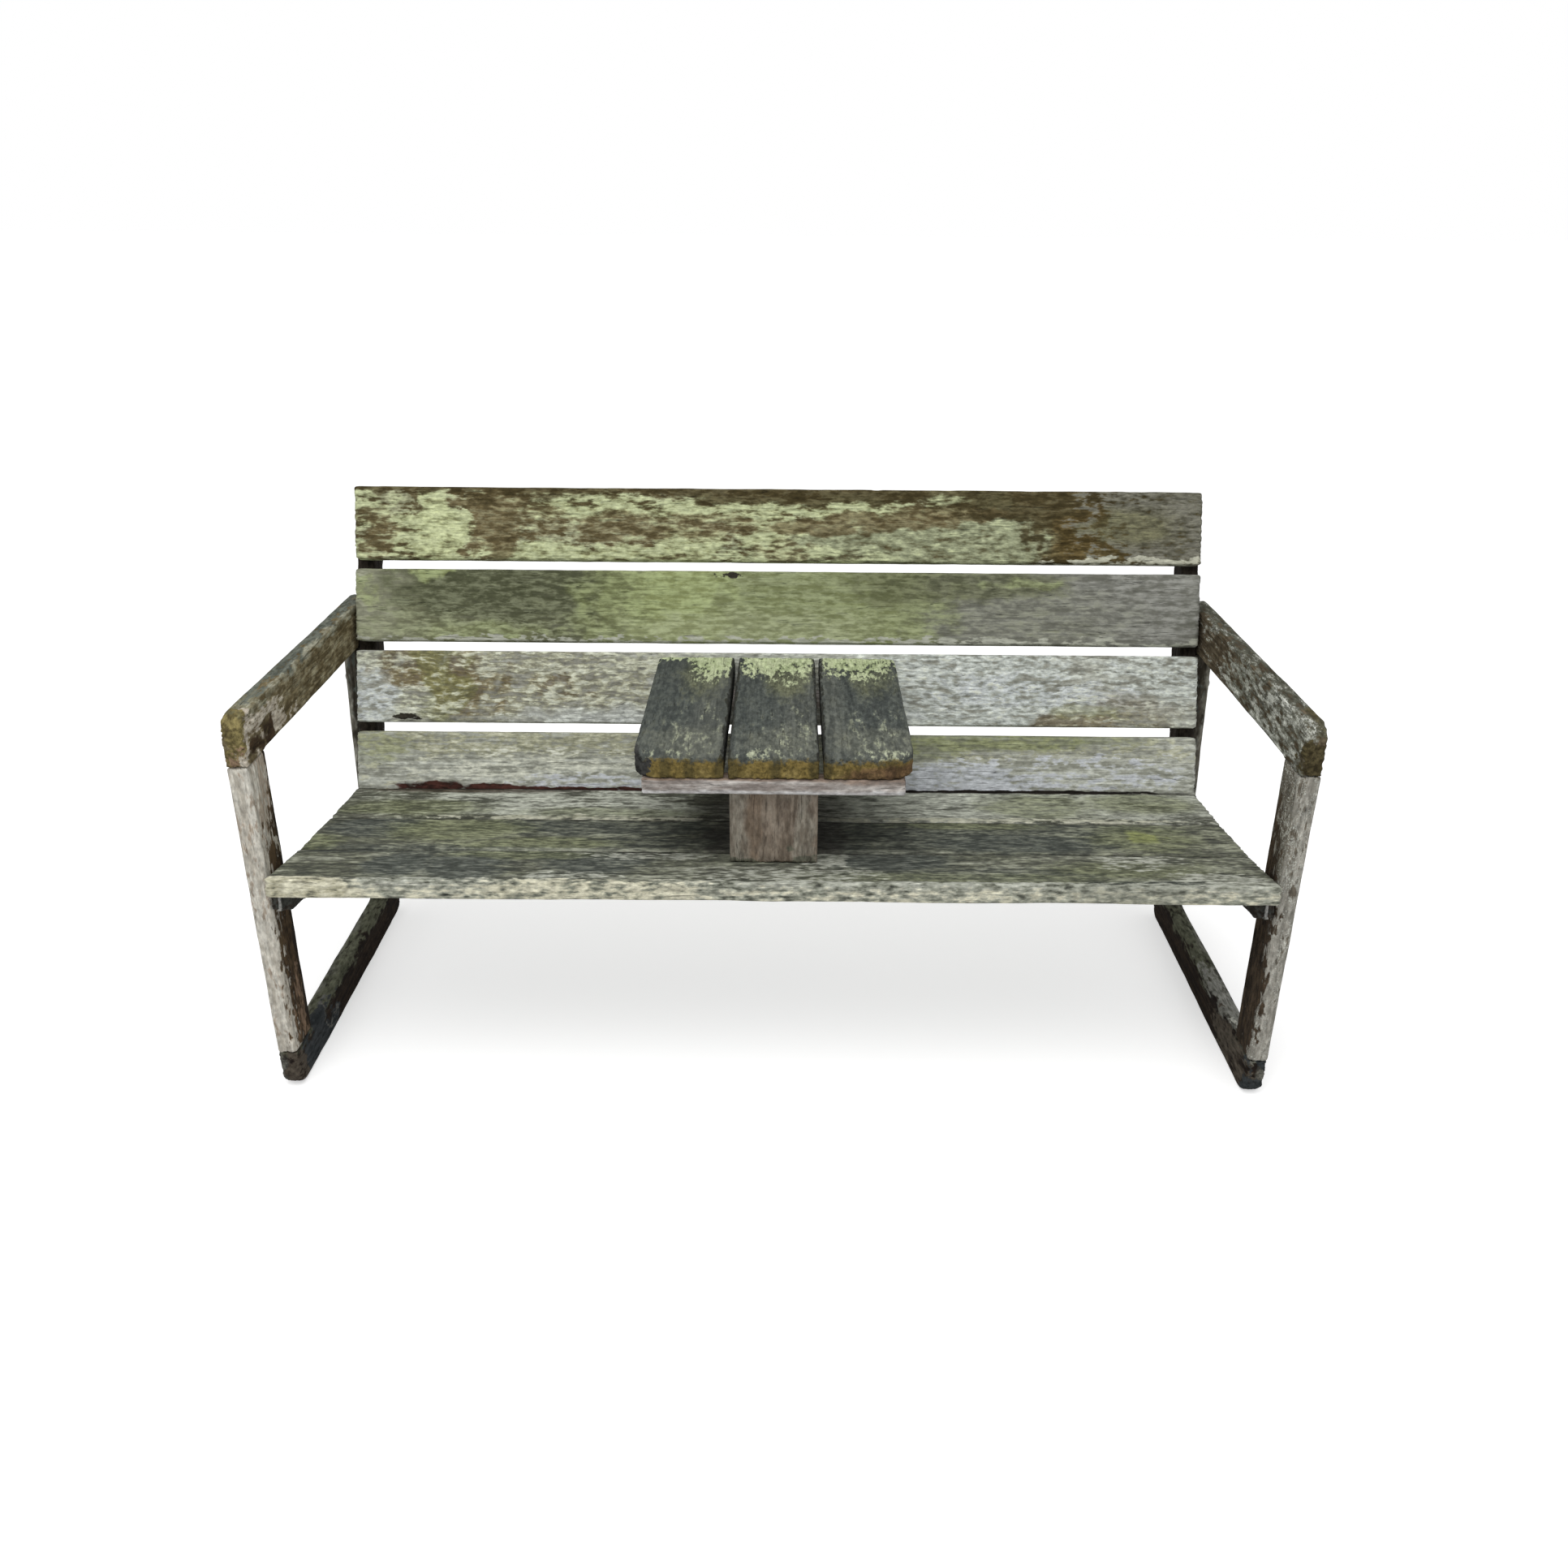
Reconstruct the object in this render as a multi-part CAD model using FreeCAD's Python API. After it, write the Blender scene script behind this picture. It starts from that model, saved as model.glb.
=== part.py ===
import FreeCAD, Part
import math
import os

# Garden bench for two with a small table fixed between the seats, in millimetres.
# X runs along the bench, Y from front to back, Z up.
# While the pieces are made, Y is zero at the front edge of the seat and Z at the ground.

# Long boards: three on the seat, four on the back
board_length = 1640
board_thickness = 34
arris = 4

# Seat: three boards on bearers sawn to a shallow dish
seat_front_height = 435
seat_board_width = 159
seat_joint = 3.5
front_tilt = 9.4
middle_tilt = 6.4
rear_tilt = 4.7

# Back: four slats, leaning, screwed to an upright at each end
slat_width = 140.5
slat_gap = 17.3
slat_count = 4
recline = 20.9
slat_drop = 32
seat_to_slat_gap = 3
upright_width = 35
upright_depth = 60
upright_top_radius = 24

# Side frames: legs tenoned between an armrest and a rail that rests on the ground
frame_thickness = 35
frame_height = 701
frame_setback = 28
board_end_gap = 6
arm_depth = 86
rail_height = 74
corner_radius = 30
frame_arris = 6
front_leg_depth = 80
rear_leg_depth = 103
frame_past_arm_bolt = 62.6
rear_lean = 4.75
tenon_thickness = 12
tenon_length = 42
tenon_shoulder = 14
mortise_fit = 0.2
mortise_spare_depth = 2

# Bearers under the seat
bearer_thickness = 35
bearer_front_depth = 37
bearer_on_leg_share = 0.8
slat_clearance = 4
middle_bearer_start = 105
middle_bearer_short = 30

# Table: three boards on two cleats, each cleat screwed to a post board
table_above_seat = 191
table_board_count = 3
table_front = 69
table_back_gap = 5.6
table_board_width = 147
table_board_thickness = 41
table_joint = 6.5
table_front_radius = 42
table_rear_radius = 15
table_top_rounding = 6
post_width = 147
post_thickness = 40
rear_post_setback = 8
cleat_section = 28
cleat_length = 428
cleat_inset = 1.4

# Coach bolts with their washers and nuts
bolt_radius = 4
bolt_head_radius = 10
bolt_head_height = 4.5
bolt_spare_end = 3
bolt_fit = 0.3
washer_radius = 9
washer_thickness = 1.6
nut_sides = 6
nut_across_flats = 13
nut_height = 6.5
nut_fit = 0.05
arm_bolt_share = 0.7
leg_bolt_drop = 63
rear_leg_bolt_share = 0.45

# Wood screws
screw_radius = 2.5
screw_head_radius = 5
screw_head_height = 3
screw_tip = 5
screw_fit = 0.1
head_sink = 0.5
overrun = 50
slat_screw_bite = 22
seat_screw_grip = 32
seat_screw_bite = 20
post_screw_bite = 44
table_screw_bite = 24
cleat_screw_bite = 18
slat_screw_shares = (0.22, 0.78)
seat_screw_shares = (0.2, 0.8)
middle_screw_share = 0.8
table_screw_share = 0.3
cleat_screw_share = 0.15
post_screw_share = 0.3


def down_slope(degrees):
    """The unit direction in the YZ plane that runs back and down at this angle."""
    angle = math.radians(degrees)
    return (math.cos(angle), -math.sin(angle))


def below(direction):
    """The unit direction square to a surface direction, pointing down."""
    return (direction[1], -direction[0])


def step(start, direction, distance):
    return (start[0] + direction[0] * distance, start[1] + direction[1] * distance)


def crossing(point_a, direction_a, point_b, direction_b):
    """The point where two lines in the YZ plane cross."""
    apart = (point_b[0] - point_a[0], point_b[1] - point_a[1])
    turn = direction_a[0] * direction_b[1] - direction_a[1] * direction_b[0]
    distance = (apart[0] * direction_b[1] - apart[1] * direction_b[0]) / turn
    return step(point_a, direction_a, distance)


def level_line(height):
    return (0, height), (1, 0)


# Surface lines of the seat, from the front edge back
half_length = board_length / 2
frame_inner = half_length + board_end_gap
frame_outer = frame_inner + frame_thickness
tilts = (front_tilt, middle_tilt, rear_tilt)
seat_directions = [down_slope(tilt) for tilt in tilts]
seat_starts = [(0, seat_front_height)]
for direction in seat_directions[:-1]:
    seat_starts.append(step(seat_starts[-1], direction, seat_board_width + seat_joint))
seat_end = step(seat_starts[-1], seat_directions[-1], seat_board_width)
seat_undersides = [step(start, below(direction), board_thickness)
                   for start, direction in zip(seat_starts, seat_directions)]

# Lines of the back: up the face of the slats, and square to it through their thickness
back_up = (math.sin(math.radians(recline)), math.cos(math.radians(recline)))
back_through = (back_up[1], -back_up[0])
back_start = (seat_end[0] + seat_to_slat_gap, seat_end[1])
slat_pitch = slat_width + slat_gap
seat_lower_end = crossing(seat_end, back_up, seat_undersides[-1], seat_directions[-1])


def on_back(rise, depth):
    """A point of the back, by its distance up the slat faces and its depth behind them."""
    return step(step(back_start, back_up, rise), back_through, depth)


# Lines of the side frames, which reach far enough back to bolt the uprights to the armrests
arm_underside = frame_height - arm_depth
arm_bolt_height = arm_underside + arm_depth * arm_bolt_share
upright_core = board_thickness + upright_depth / 2
arm_bolt = crossing(on_back(0, upright_core), back_up, *level_line(arm_bolt_height))
rear_slope = math.tan(math.radians(rear_lean))
front_leg_middle = frame_setback + front_leg_depth / 2


def rear_edge(height):
    """Y of the back edge of the side frame at this height."""
    return arm_bolt[0] + frame_past_arm_bolt + (height - arm_bolt_height) * rear_slope


leg_parting = (frame_setback + rear_edge(0)) / 2

# The bearer's top behind the seat is cut down so that the lowest slat passes over it
slat_low_corner = on_back(-slat_drop, board_thickness)
underside_there = crossing(seat_undersides[-1], seat_directions[-1], slat_low_corner, (0, 1))
bearer_relief = underside_there[1] - slat_low_corner[1] + slat_clearance
bearer_rear_top = (seat_lower_end[0], seat_lower_end[1] - bearer_relief)
bearer_front_top = crossing(seat_undersides[0], seat_directions[0], (frame_setback, 0), (0, 1))
bearer_front_low = (bearer_front_top[0], bearer_front_top[1] - bearer_front_depth)

# Lines of the table, which stands on the seat
table_height = seat_front_height + table_above_seat
table_underside = table_height - table_board_thickness
table_back = crossing(back_start, back_up, *level_line(table_underside))[0] - table_back_gap
front_post_front = table_front + cleat_inset + cleat_section
rear_post_rear = seat_lower_end[0] - rear_post_setback
rear_post_front = rear_post_rear - post_thickness
table_width = table_board_count * (table_board_width + table_joint) - table_joint


def wire_of(corners, place):
    """A closed wire through corners (a, b, radius), with an arc at each that has a radius."""
    edges = []
    starts = []
    ends = []
    middles = []
    count = len(corners)
    for index in range(count):
        a, b, radius = corners[index]
        before = corners[index - 1]
        after = corners[(index + 1) % count]
        to_before = FreeCAD.Vector(before[0] - a, before[1] - b, 0).normalize()
        to_after = FreeCAD.Vector(after[0] - a, after[1] - b, 0).normalize()
        corner = FreeCAD.Vector(a, b, 0)
        half = to_before.getAngle(to_after) / 2
        reach = radius / math.tan(half)
        inward = (to_before + to_after).normalize()
        starts.append(corner + to_before * reach)
        ends.append(corner + to_after * reach)
        middles.append(corner + inward * (radius / math.sin(half) - radius))
    for index in range(count):
        if corners[index][2] > 0:
            arc = Part.Arc(place(starts[index]), place(middles[index]), place(ends[index]))
            edges.append(arc.toShape())
        edges.append(Part.makeLine(place(ends[index]), place(starts[(index + 1) % count])))
    return Part.Wire(edges)


def prism(corners, x_low, x_high):
    """A piece with one outline in the YZ plane all along X."""
    wire = wire_of(corners, lambda flat: FreeCAD.Vector(x_low, flat.x, flat.y))
    return Part.Face(wire).extrude(FreeCAD.Vector(x_high - x_low, 0, 0))


def sharp(points):
    return [(point[0], point[1], 0) for point in points]


def eased(solid, radius):
    """Takes the sharpness off every edge."""
    return solid.makeFillet(radius, solid.Edges)


def joined(solid, addition):
    return solid.fuse(addition).removeSplitter()


def drilled(solid, cutters):
    return solid.cut(Part.makeCompound(cutters)) if cutters else solid


def aimed(solid, start, direction):
    """Turns a solid made along +Z so that it runs from start in this direction."""
    turned = solid.copy()
    turn = FreeCAD.Rotation(FreeCAD.Vector(0, 0, 1), direction)
    turned.Placement = FreeCAD.Placement(start, turn).multiply(turned.Placement)
    return turned


def turned_solid(profile):
    """A turned piece from points (radius, height) that start and end on the axis."""
    points = [FreeCAD.Vector(radius, 0, height) for radius, height in profile]
    face = Part.Face(Part.makePolygon(points + points[:1]))
    return face.revolve(FreeCAD.Vector(0, 0, 0), FreeCAD.Vector(0, 0, 1), 360)


# Side frames

def rounded_frame(side_low, side_high):
    """A whole side frame, rounded over inside and out as it is after its joints are glued."""
    outside = [
        (frame_setback, 0, corner_radius),
        (rear_edge(0), 0, corner_radius),
        (rear_edge(frame_height), frame_height, corner_radius),
        (frame_setback, frame_height, corner_radius),
    ]
    opening = sharp([
        (frame_setback + front_leg_depth, rail_height),
        (rear_edge(rail_height) - rear_leg_depth, rail_height),
        (rear_edge(arm_underside) - rear_leg_depth, arm_underside),
        (frame_setback + front_leg_depth, arm_underside),
    ])
    frame = prism(outside, side_low, side_high).cut(prism(opening, side_low, side_high))
    return eased(frame, frame_arris)


def length_of_frame(frame, y_low, y_high, z_low, z_high):
    """The piece of a side frame that lies between these limits."""
    corner = FreeCAD.Vector(-frame_outer, y_low, z_low)
    limits = Part.makeBox(2 * frame_outer, y_high - y_low, z_high - z_low, corner)
    return frame.common(limits)


def front_leg_outline(inset, low, high):
    front = frame_setback + inset
    back = frame_setback + front_leg_depth - inset
    return sharp([(front, low), (back, low), (back, high), (front, high)])


def rear_leg_outline(inset, low, high):
    return sharp([
        (rear_edge(low) - rear_leg_depth + inset, low),
        (rear_edge(low) - inset, low),
        (rear_edge(high) - inset, high),
        (rear_edge(high) - rear_leg_depth + inset, high),
    ])


def tenons(outline, side_low, side_high):
    """A tongue through a leg's middle that stands out as a tenon at both ends."""
    cheek = (frame_thickness - tenon_thickness) / 2
    low = rail_height - tenon_length
    high = arm_underside + tenon_length
    return prism(outline(tenon_shoulder, low, high), side_low + cheek, side_high - cheek)


def mortises(outline, side_low, side_high):
    """What is cut out of the rail and the armrest for one leg's two tenons."""
    cheek = (frame_thickness - tenon_thickness) / 2 - mortise_fit
    reach = tenon_length + mortise_spare_depth
    low = rail_height - reach
    high = arm_underside + reach
    inset = tenon_shoulder - mortise_fit
    return prism(outline(inset, low, high), side_low + cheek, side_high - cheek)


# Seat

def bearer_low_line():
    return bearer_front_low, seat_directions[0]


def bearer_height(y, line):
    """Z of a sloping line at this Y."""
    return crossing(line[0], line[1], (y, 0), (0, 1))[1]


def end_bearer(side_low, side_high):
    """A bearer beside a side frame: dished top, cut down behind the seat, sloping underside."""
    bend_a = crossing(seat_undersides[0], seat_directions[0], seat_undersides[1], seat_directions[1])
    bend_b = crossing(seat_undersides[1], seat_directions[1], seat_undersides[2], seat_directions[2])
    top_end = (bearer_end, bearer_height(bearer_end, (bearer_rear_top, seat_directions[-1])))
    low_end = (bearer_end, bearer_height(bearer_end, bearer_low_line()))
    points = [bearer_front_low, low_end, top_end, bearer_rear_top, seat_lower_end,
              bend_b, bend_a, bearer_front_top]
    return prism(sharp(points), side_low, side_high)


def middle_bearer():
    """The short bearer that ties the three boards together under the table."""
    start = middle_bearer_start
    finish = seat_lower_end[0] - middle_bearer_short
    bend_a = crossing(seat_undersides[0], seat_directions[0], seat_undersides[1], seat_directions[1])
    bend_b = crossing(seat_undersides[1], seat_directions[1], seat_undersides[2], seat_directions[2])
    top = bearer_height(start, (seat_undersides[0], seat_directions[0]))
    top_end = bearer_height(finish, (seat_undersides[-1], seat_directions[-1]))
    points = [
        (start, bearer_height(start, bearer_low_line())),
        (finish, bearer_height(finish, bearer_low_line())),
        (finish, top_end),
        bend_b,
        bend_a,
        (start, top),
    ]
    return prism(sharp(points), -bearer_thickness / 2, bearer_thickness / 2)


def seat_board(index):
    """One seat board: the last has its back edge bevelled to follow the slats."""
    start = seat_starts[index]
    direction = seat_directions[index]
    end = step(start, direction, seat_board_width)
    low_start = step(start, below(direction), board_thickness)
    low_end = step(end, below(direction), board_thickness)
    if index == len(seat_starts) - 1:
        low_end = seat_lower_end
    points = sharp([start, end, low_end, low_start])
    return eased(prism(points, -half_length, half_length), arris)


# Back

def back_slat(index):
    low = index * slat_pitch - slat_drop
    high = low + slat_width
    points = [on_back(low, 0), on_back(low, board_thickness),
              on_back(high, board_thickness), on_back(high, 0)]
    return eased(prism(sharp(points), -half_length, half_length), arris)


def upright(side_low, side_high):
    """The leaning post behind the slat ends, standing on the bearer."""
    top = (slat_count - 1) * slat_pitch - slat_drop + slat_width
    behind = board_thickness + upright_depth
    foot_line = (bearer_rear_top, seat_directions[-1])
    low_front = crossing(on_back(0, board_thickness), back_up, foot_line[0], foot_line[1])
    low_back = crossing(on_back(0, behind), back_up, foot_line[0], foot_line[1])
    high_front = on_back(top, board_thickness)
    high_back = on_back(top, behind)
    corners = [low_front + (0,), low_back + (0,), high_back + (upright_top_radius,), high_front + (0,)]
    solid = prism(corners, side_low, side_high)
    long_edges = [edge for edge in solid.Edges if edge.BoundBox.ZLength > arm_depth]
    return solid.makeFillet(arris, long_edges)


# Table

def table_board(index):
    """One table board, front to back. The outer boards have rounded corners."""
    left = index * (table_board_width + table_joint) - table_width / 2
    right = left + table_board_width
    first = index == 0
    last = index == table_board_count - 1
    corners = [
        (left, table_front, table_front_radius if first else 0),
        (right, table_front, table_front_radius if last else 0),
        (right, table_back, table_rear_radius if last else 0),
        (left, table_back, table_rear_radius if first else 0),
    ]
    wire = wire_of(corners, lambda flat: FreeCAD.Vector(flat.x, flat.y, table_underside))
    solid = Part.Face(wire).extrude(FreeCAD.Vector(0, 0, table_board_thickness))
    top_edges = [edge for edge in solid.Edges if edge.BoundBox.ZMin > table_height - arris]
    return solid.makeFillet(table_top_rounding, top_edges)


def cleat(front):
    corners = sharp([
        (front, table_underside - cleat_section),
        (front + cleat_section, table_underside - cleat_section),
        (front + cleat_section, table_underside),
        (front, table_underside),
    ])
    return prism(corners, -cleat_length / 2, cleat_length / 2)


def post(front, index):
    """A post board across the bench, its foot cut to the slope of the seat."""
    start = seat_starts[index]
    direction = seat_directions[index]
    back = front + post_thickness
    points = [
        (front, bearer_height(front, (start, direction))),
        (back, bearer_height(back, (start, direction))),
        (back, table_underside),
        (front, table_underside),
    ]
    solid = prism(sharp(points), -post_width / 2, post_width / 2)
    long_edges = [edge for edge in solid.Edges if edge.BoundBox.ZLength > cleat_section]
    return solid.makeFillet(arris, long_edges)


# Bolts, washers and nuts

def coach_bolt(grip):
    """A bolt with a domed head, made along +Z from under the head."""
    length = grip + washer_thickness + nut_height + bolt_spare_end
    shank = Part.makeCylinder(bolt_radius, length)
    rise = bolt_head_height
    dome_radius = (bolt_head_radius ** 2 + rise ** 2) / (2 * rise)
    dome = Part.makeSphere(dome_radius, FreeCAD.Vector(0, 0, dome_radius - rise))
    keep = Part.makeCylinder(bolt_head_radius, rise, FreeCAD.Vector(0, 0, -rise))
    return joined(shank, dome.common(keep))


def bolt_hole(grip):
    return Part.makeCylinder(bolt_radius + bolt_fit, grip)


def washer():
    ring = Part.makeCylinder(washer_radius, washer_thickness)
    return ring.cut(Part.makeCylinder(bolt_radius + bolt_fit, washer_thickness))


def nut():
    step_angle = 2 * math.pi / nut_sides
    corner = nut_across_flats / 2 / math.cos(step_angle / 2)
    points = [FreeCAD.Vector(corner * math.cos(step_angle * side), corner * math.sin(step_angle * side), 0)
              for side in range(nut_sides)]
    block = Part.Face(Part.makePolygon(points + points[:1])).extrude(FreeCAD.Vector(0, 0, nut_height))
    return block.cut(Part.makeCylinder(bolt_radius + nut_fit, nut_height))


# Screws

def screw(length):
    """A countersunk wood screw, made along +Z from the flat of its head."""
    return turned_solid([
        (0, 0),
        (screw_head_radius, 0),
        (screw_radius, screw_head_height),
        (screw_radius, length - screw_tip),
        (0, length),
    ])


def screw_hole(length):
    """The hole for a screw, open above its head."""
    return turned_solid([
        (0, -overrun),
        (screw_head_radius + screw_fit, -overrun),
        (screw_head_radius + screw_fit, 0),
        (screw_radius + screw_fit, screw_head_height),
        (screw_radius + screw_fit, length + screw_fit),
        (0, length + screw_fit),
    ])


def vector(x, point):
    return FreeCAD.Vector(x, point[0], point[1])


# Where the bearers end, on the inner faces of the rear legs
bearer_low_there = bearer_height(rear_edge(arm_underside / 2), bearer_low_line())
bearer_end = rear_edge(bearer_low_there) - rear_leg_depth * (1 - bearer_on_leg_share)
rear_bolt_y = rear_edge(bearer_low_there) - rear_leg_depth * (1 - rear_leg_bolt_share)


def bearer_middle(y, top_line):
    """Z half way between a bearer's top and its underside."""
    return (bearer_height(y, top_line) + bearer_height(y, bearer_low_line())) / 2


front_bolt = (front_leg_middle, bearer_middle(front_leg_middle, (seat_undersides[0], seat_directions[0])))
rear_bolt = (rear_bolt_y, bearer_middle(rear_bolt_y, (bearer_rear_top, seat_directions[-1])))
leg_bolt_height = arm_underside - leg_bolt_drop
upright_back = crossing(on_back(0, board_thickness + upright_depth), back_up, *level_line(leg_bolt_height))
leg_face = rear_edge(leg_bolt_height) - rear_leg_depth
leg_bolt = ((upright_back[0] + leg_face) / 2, leg_bolt_height)

# Fastener places: each is a start, a direction, and the nodes that it passes through
bearer_bolts = []
upright_bolts = []
slat_screws = []
seat_screws = []
post_screws = []
table_screws = []
cleat_screws = []

for side, name in ((-1, "left"), (1, "right")):
    inward = FreeCAD.Vector(-side, 0, 0)
    outside = side * frame_outer
    bearer_bolts.append((vector(outside, front_bolt), inward, (name + "_front_leg", name + "_seat_bearer")))
    bearer_bolts.append((vector(outside, rear_bolt), inward, (name + "_rear_leg", name + "_seat_bearer")))
    upright_bolts.append((vector(outside, arm_bolt), inward, (name + "_armrest", name + "_back_upright")))
    upright_bolts.append((vector(outside, leg_bolt), inward, (name + "_rear_leg", name + "_back_upright")))

slat_names = ["back_slat_bottom", "back_slat_lower", "back_slat_upper", "back_slat_top"]
seat_names = ["seat_board_front", "seat_board_middle", "seat_board_rear"]
table_names = ["table_board_left", "table_board_middle", "table_board_right"]
slat_screw_x = (half_length + frame_inner - upright_width) / 2
forward = FreeCAD.Vector(0, -back_through[0], -back_through[1])
for side, name in ((-1, "left"), (1, "right")):
    for index, slat in enumerate(slat_names):
        for share in slat_screw_shares:
            rise = index * slat_pitch - slat_drop + slat_width * share
            start = on_back(rise, board_thickness + upright_depth - head_sink)
            slat_screws.append((vector(side * slat_screw_x, start), forward, (slat, name + "_back_upright")))


def seat_fixing(index, share, x, bearer):
    """A screw from inside a bearer, square to a seat board."""
    direction = seat_directions[index]
    surface = step(seat_starts[index], direction, seat_board_width * share)
    head = step(surface, below(direction), board_thickness + seat_screw_grip)
    rising = FreeCAD.Vector(0, -below(direction)[0], -below(direction)[1])
    return vector(x, head), rising, (seat_names[index], bearer)


for side, name in ((-1, "left"), (1, "right")):
    for index in range(len(seat_names)):
        for share in seat_screw_shares:
            x = side * (frame_inner - bearer_thickness / 2)
            seat_screws.append(seat_fixing(index, share, x, name + "_seat_bearer"))
for index in range(len(seat_names)):
    share = middle_screw_share if index == 0 else 1 / 2
    seat_screws.append(seat_fixing(index, share, 0, "middle_seat_bearer"))

for front, node, board in ((front_post_front, "table_post_front", "seat_board_front"),
                           (rear_post_front, "table_post_rear", "seat_board_rear")):
    index = seat_names.index(board)
    direction = seat_directions[index]
    foot = (front + post_thickness / 2, 0)
    surface = crossing(seat_starts[index], direction, foot, (0, 1))
    head = step(surface, below(direction), board_thickness - head_sink)
    rising = FreeCAD.Vector(0, -below(direction)[0], -below(direction)[1])
    for side in (-1, 1):
        place = vector(side * post_width * post_screw_share, head)
        post_screws.append((place, rising, (board, node)))

cleat_low = table_underside - cleat_section
front_cleat_front = front_post_front - cleat_section
for front, node in ((front_cleat_front, "table_cleat_front"), (rear_post_rear, "table_cleat_rear")):
    for index, board in enumerate(table_names):
        board_middle = (index - 1) * (table_board_width + table_joint)
        for side in (-1, 1):
            x = board_middle + side * table_board_width * table_screw_share
            start = FreeCAD.Vector(x, front + cleat_section / 2, cleat_low + head_sink)
            table_screws.append((start, FreeCAD.Vector(0, 0, 1), (board, node)))

cleat_middle = table_underside - cleat_section / 2
for side in (-1, 1):
    x = side * post_width * cleat_screw_share
    start = FreeCAD.Vector(x, front_post_front + post_thickness - head_sink, cleat_middle)
    cleat_screws.append((start, FreeCAD.Vector(0, -1, 0), ("table_post_front", "table_cleat_front")))
    start = FreeCAD.Vector(x, rear_post_front + head_sink, cleat_middle)
    cleat_screws.append((start, FreeCAD.Vector(0, 1, 0), ("table_post_rear", "table_cleat_rear")))

bearer_grip = frame_thickness + bearer_thickness
upright_grip = frame_thickness + upright_width
slat_screw_length = upright_depth - head_sink + slat_screw_bite
seat_screw_length = seat_screw_grip + seat_screw_bite
post_screw_length = board_thickness - head_sink + post_screw_bite
table_screw_length = cleat_section - head_sink + table_screw_bite
cleat_screw_length = post_thickness - head_sink + cleat_screw_bite

fastener_kinds = {
    "bearer_bolts": (bearer_bolts, coach_bolt(bearer_grip), bolt_hole(bearer_grip)),
    "upright_bolts": (upright_bolts, coach_bolt(upright_grip), bolt_hole(upright_grip)),
    "slat_screws": (slat_screws, screw(slat_screw_length), screw_hole(slat_screw_length)),
    "seat_screws": (seat_screws, screw(seat_screw_length), screw_hole(seat_screw_length)),
    "post_screws": (post_screws, screw(post_screw_length), screw_hole(post_screw_length)),
    "table_screws": (table_screws, screw(table_screw_length), screw_hole(table_screw_length)),
    "cleat_screws": (cleat_screws, screw(cleat_screw_length), screw_hole(cleat_screw_length)),
}

# Every wooden piece, by its name
wood = {}
for side, name in ((-1, "left"), (1, "right")):
    low, high = sorted((side * frame_inner, side * frame_outer))
    frame = rounded_frame(low, high)
    holes = [mortises(front_leg_outline, low, high), mortises(rear_leg_outline, low, high)]
    behind = rear_edge(frame_height)
    arm = length_of_frame(frame, frame_setback, behind, arm_underside, frame_height)
    rail = length_of_frame(frame, frame_setback, behind, 0, rail_height)
    front_leg = length_of_frame(frame, frame_setback, leg_parting, rail_height, arm_underside)
    rear_leg = length_of_frame(frame, leg_parting, behind, rail_height, arm_underside)
    wood[name + "_armrest"] = drilled(arm, holes)
    wood[name + "_ground_rail"] = drilled(rail, holes)
    wood[name + "_front_leg"] = joined(front_leg, tenons(front_leg_outline, low, high))
    wood[name + "_rear_leg"] = joined(rear_leg, tenons(rear_leg_outline, low, high))
    low, high = sorted((side * frame_inner, side * (frame_inner - bearer_thickness)))
    wood[name + "_seat_bearer"] = end_bearer(low, high)
    low, high = sorted((side * frame_inner, side * (frame_inner - upright_width)))
    wood[name + "_back_upright"] = upright(low, high)
wood["middle_seat_bearer"] = middle_bearer()
for index, name in enumerate(seat_names):
    wood[name] = seat_board(index)
for index, name in enumerate(slat_names):
    wood[name] = back_slat(index)
for index, name in enumerate(table_names):
    wood[name] = table_board(index)
wood["table_cleat_front"] = cleat(front_cleat_front)
wood["table_cleat_rear"] = cleat(rear_post_rear)
wood["table_post_front"] = post(front_post_front, 0)
wood["table_post_rear"] = post(rear_post_front, 2)

# Drill the wood for the fasteners, and set the fasteners in their holes
cutters = {name: [] for name in wood}
nodes = {}
for kind, (places, solid, hole) in fastener_kinds.items():
    nodes[kind] = Part.makeCompound([aimed(solid, start, way) for start, way, _ in places])
    for start, way, through in places:
        for name in through:
            cutters[name].append(aimed(hole, start, way))
for name, solid in wood.items():
    nodes[name] = drilled(solid, cutters[name])

washers = []
nuts = []
for places, grip in ((bearer_bolts, bearer_grip), (upright_bolts, upright_grip)):
    for start, way, _ in places:
        washers.append(aimed(washer(), start + way * grip, way))
        nuts.append(aimed(nut(), start + way * (grip + washer_thickness), way))
nodes["bolt_washers"] = Part.makeCompound(washers)
nodes["bolt_nuts"] = Part.makeCompound(nuts)

# The origin is on the ground under the middle of the bench
span = Part.makeCompound(list(wood.values())).optimalBoundingBox(False, False)
to_origin = FreeCAD.Vector(0, -(span.YMin + span.YMax) / 2, 0)
os.makedirs("parts", exist_ok=True)
for name, shape in nodes.items():
    shape.translate(to_origin)
    shape.exportStep("parts/" + name + ".step")
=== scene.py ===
import math

import bpy
from mathutils import Matrix, Vector


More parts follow.
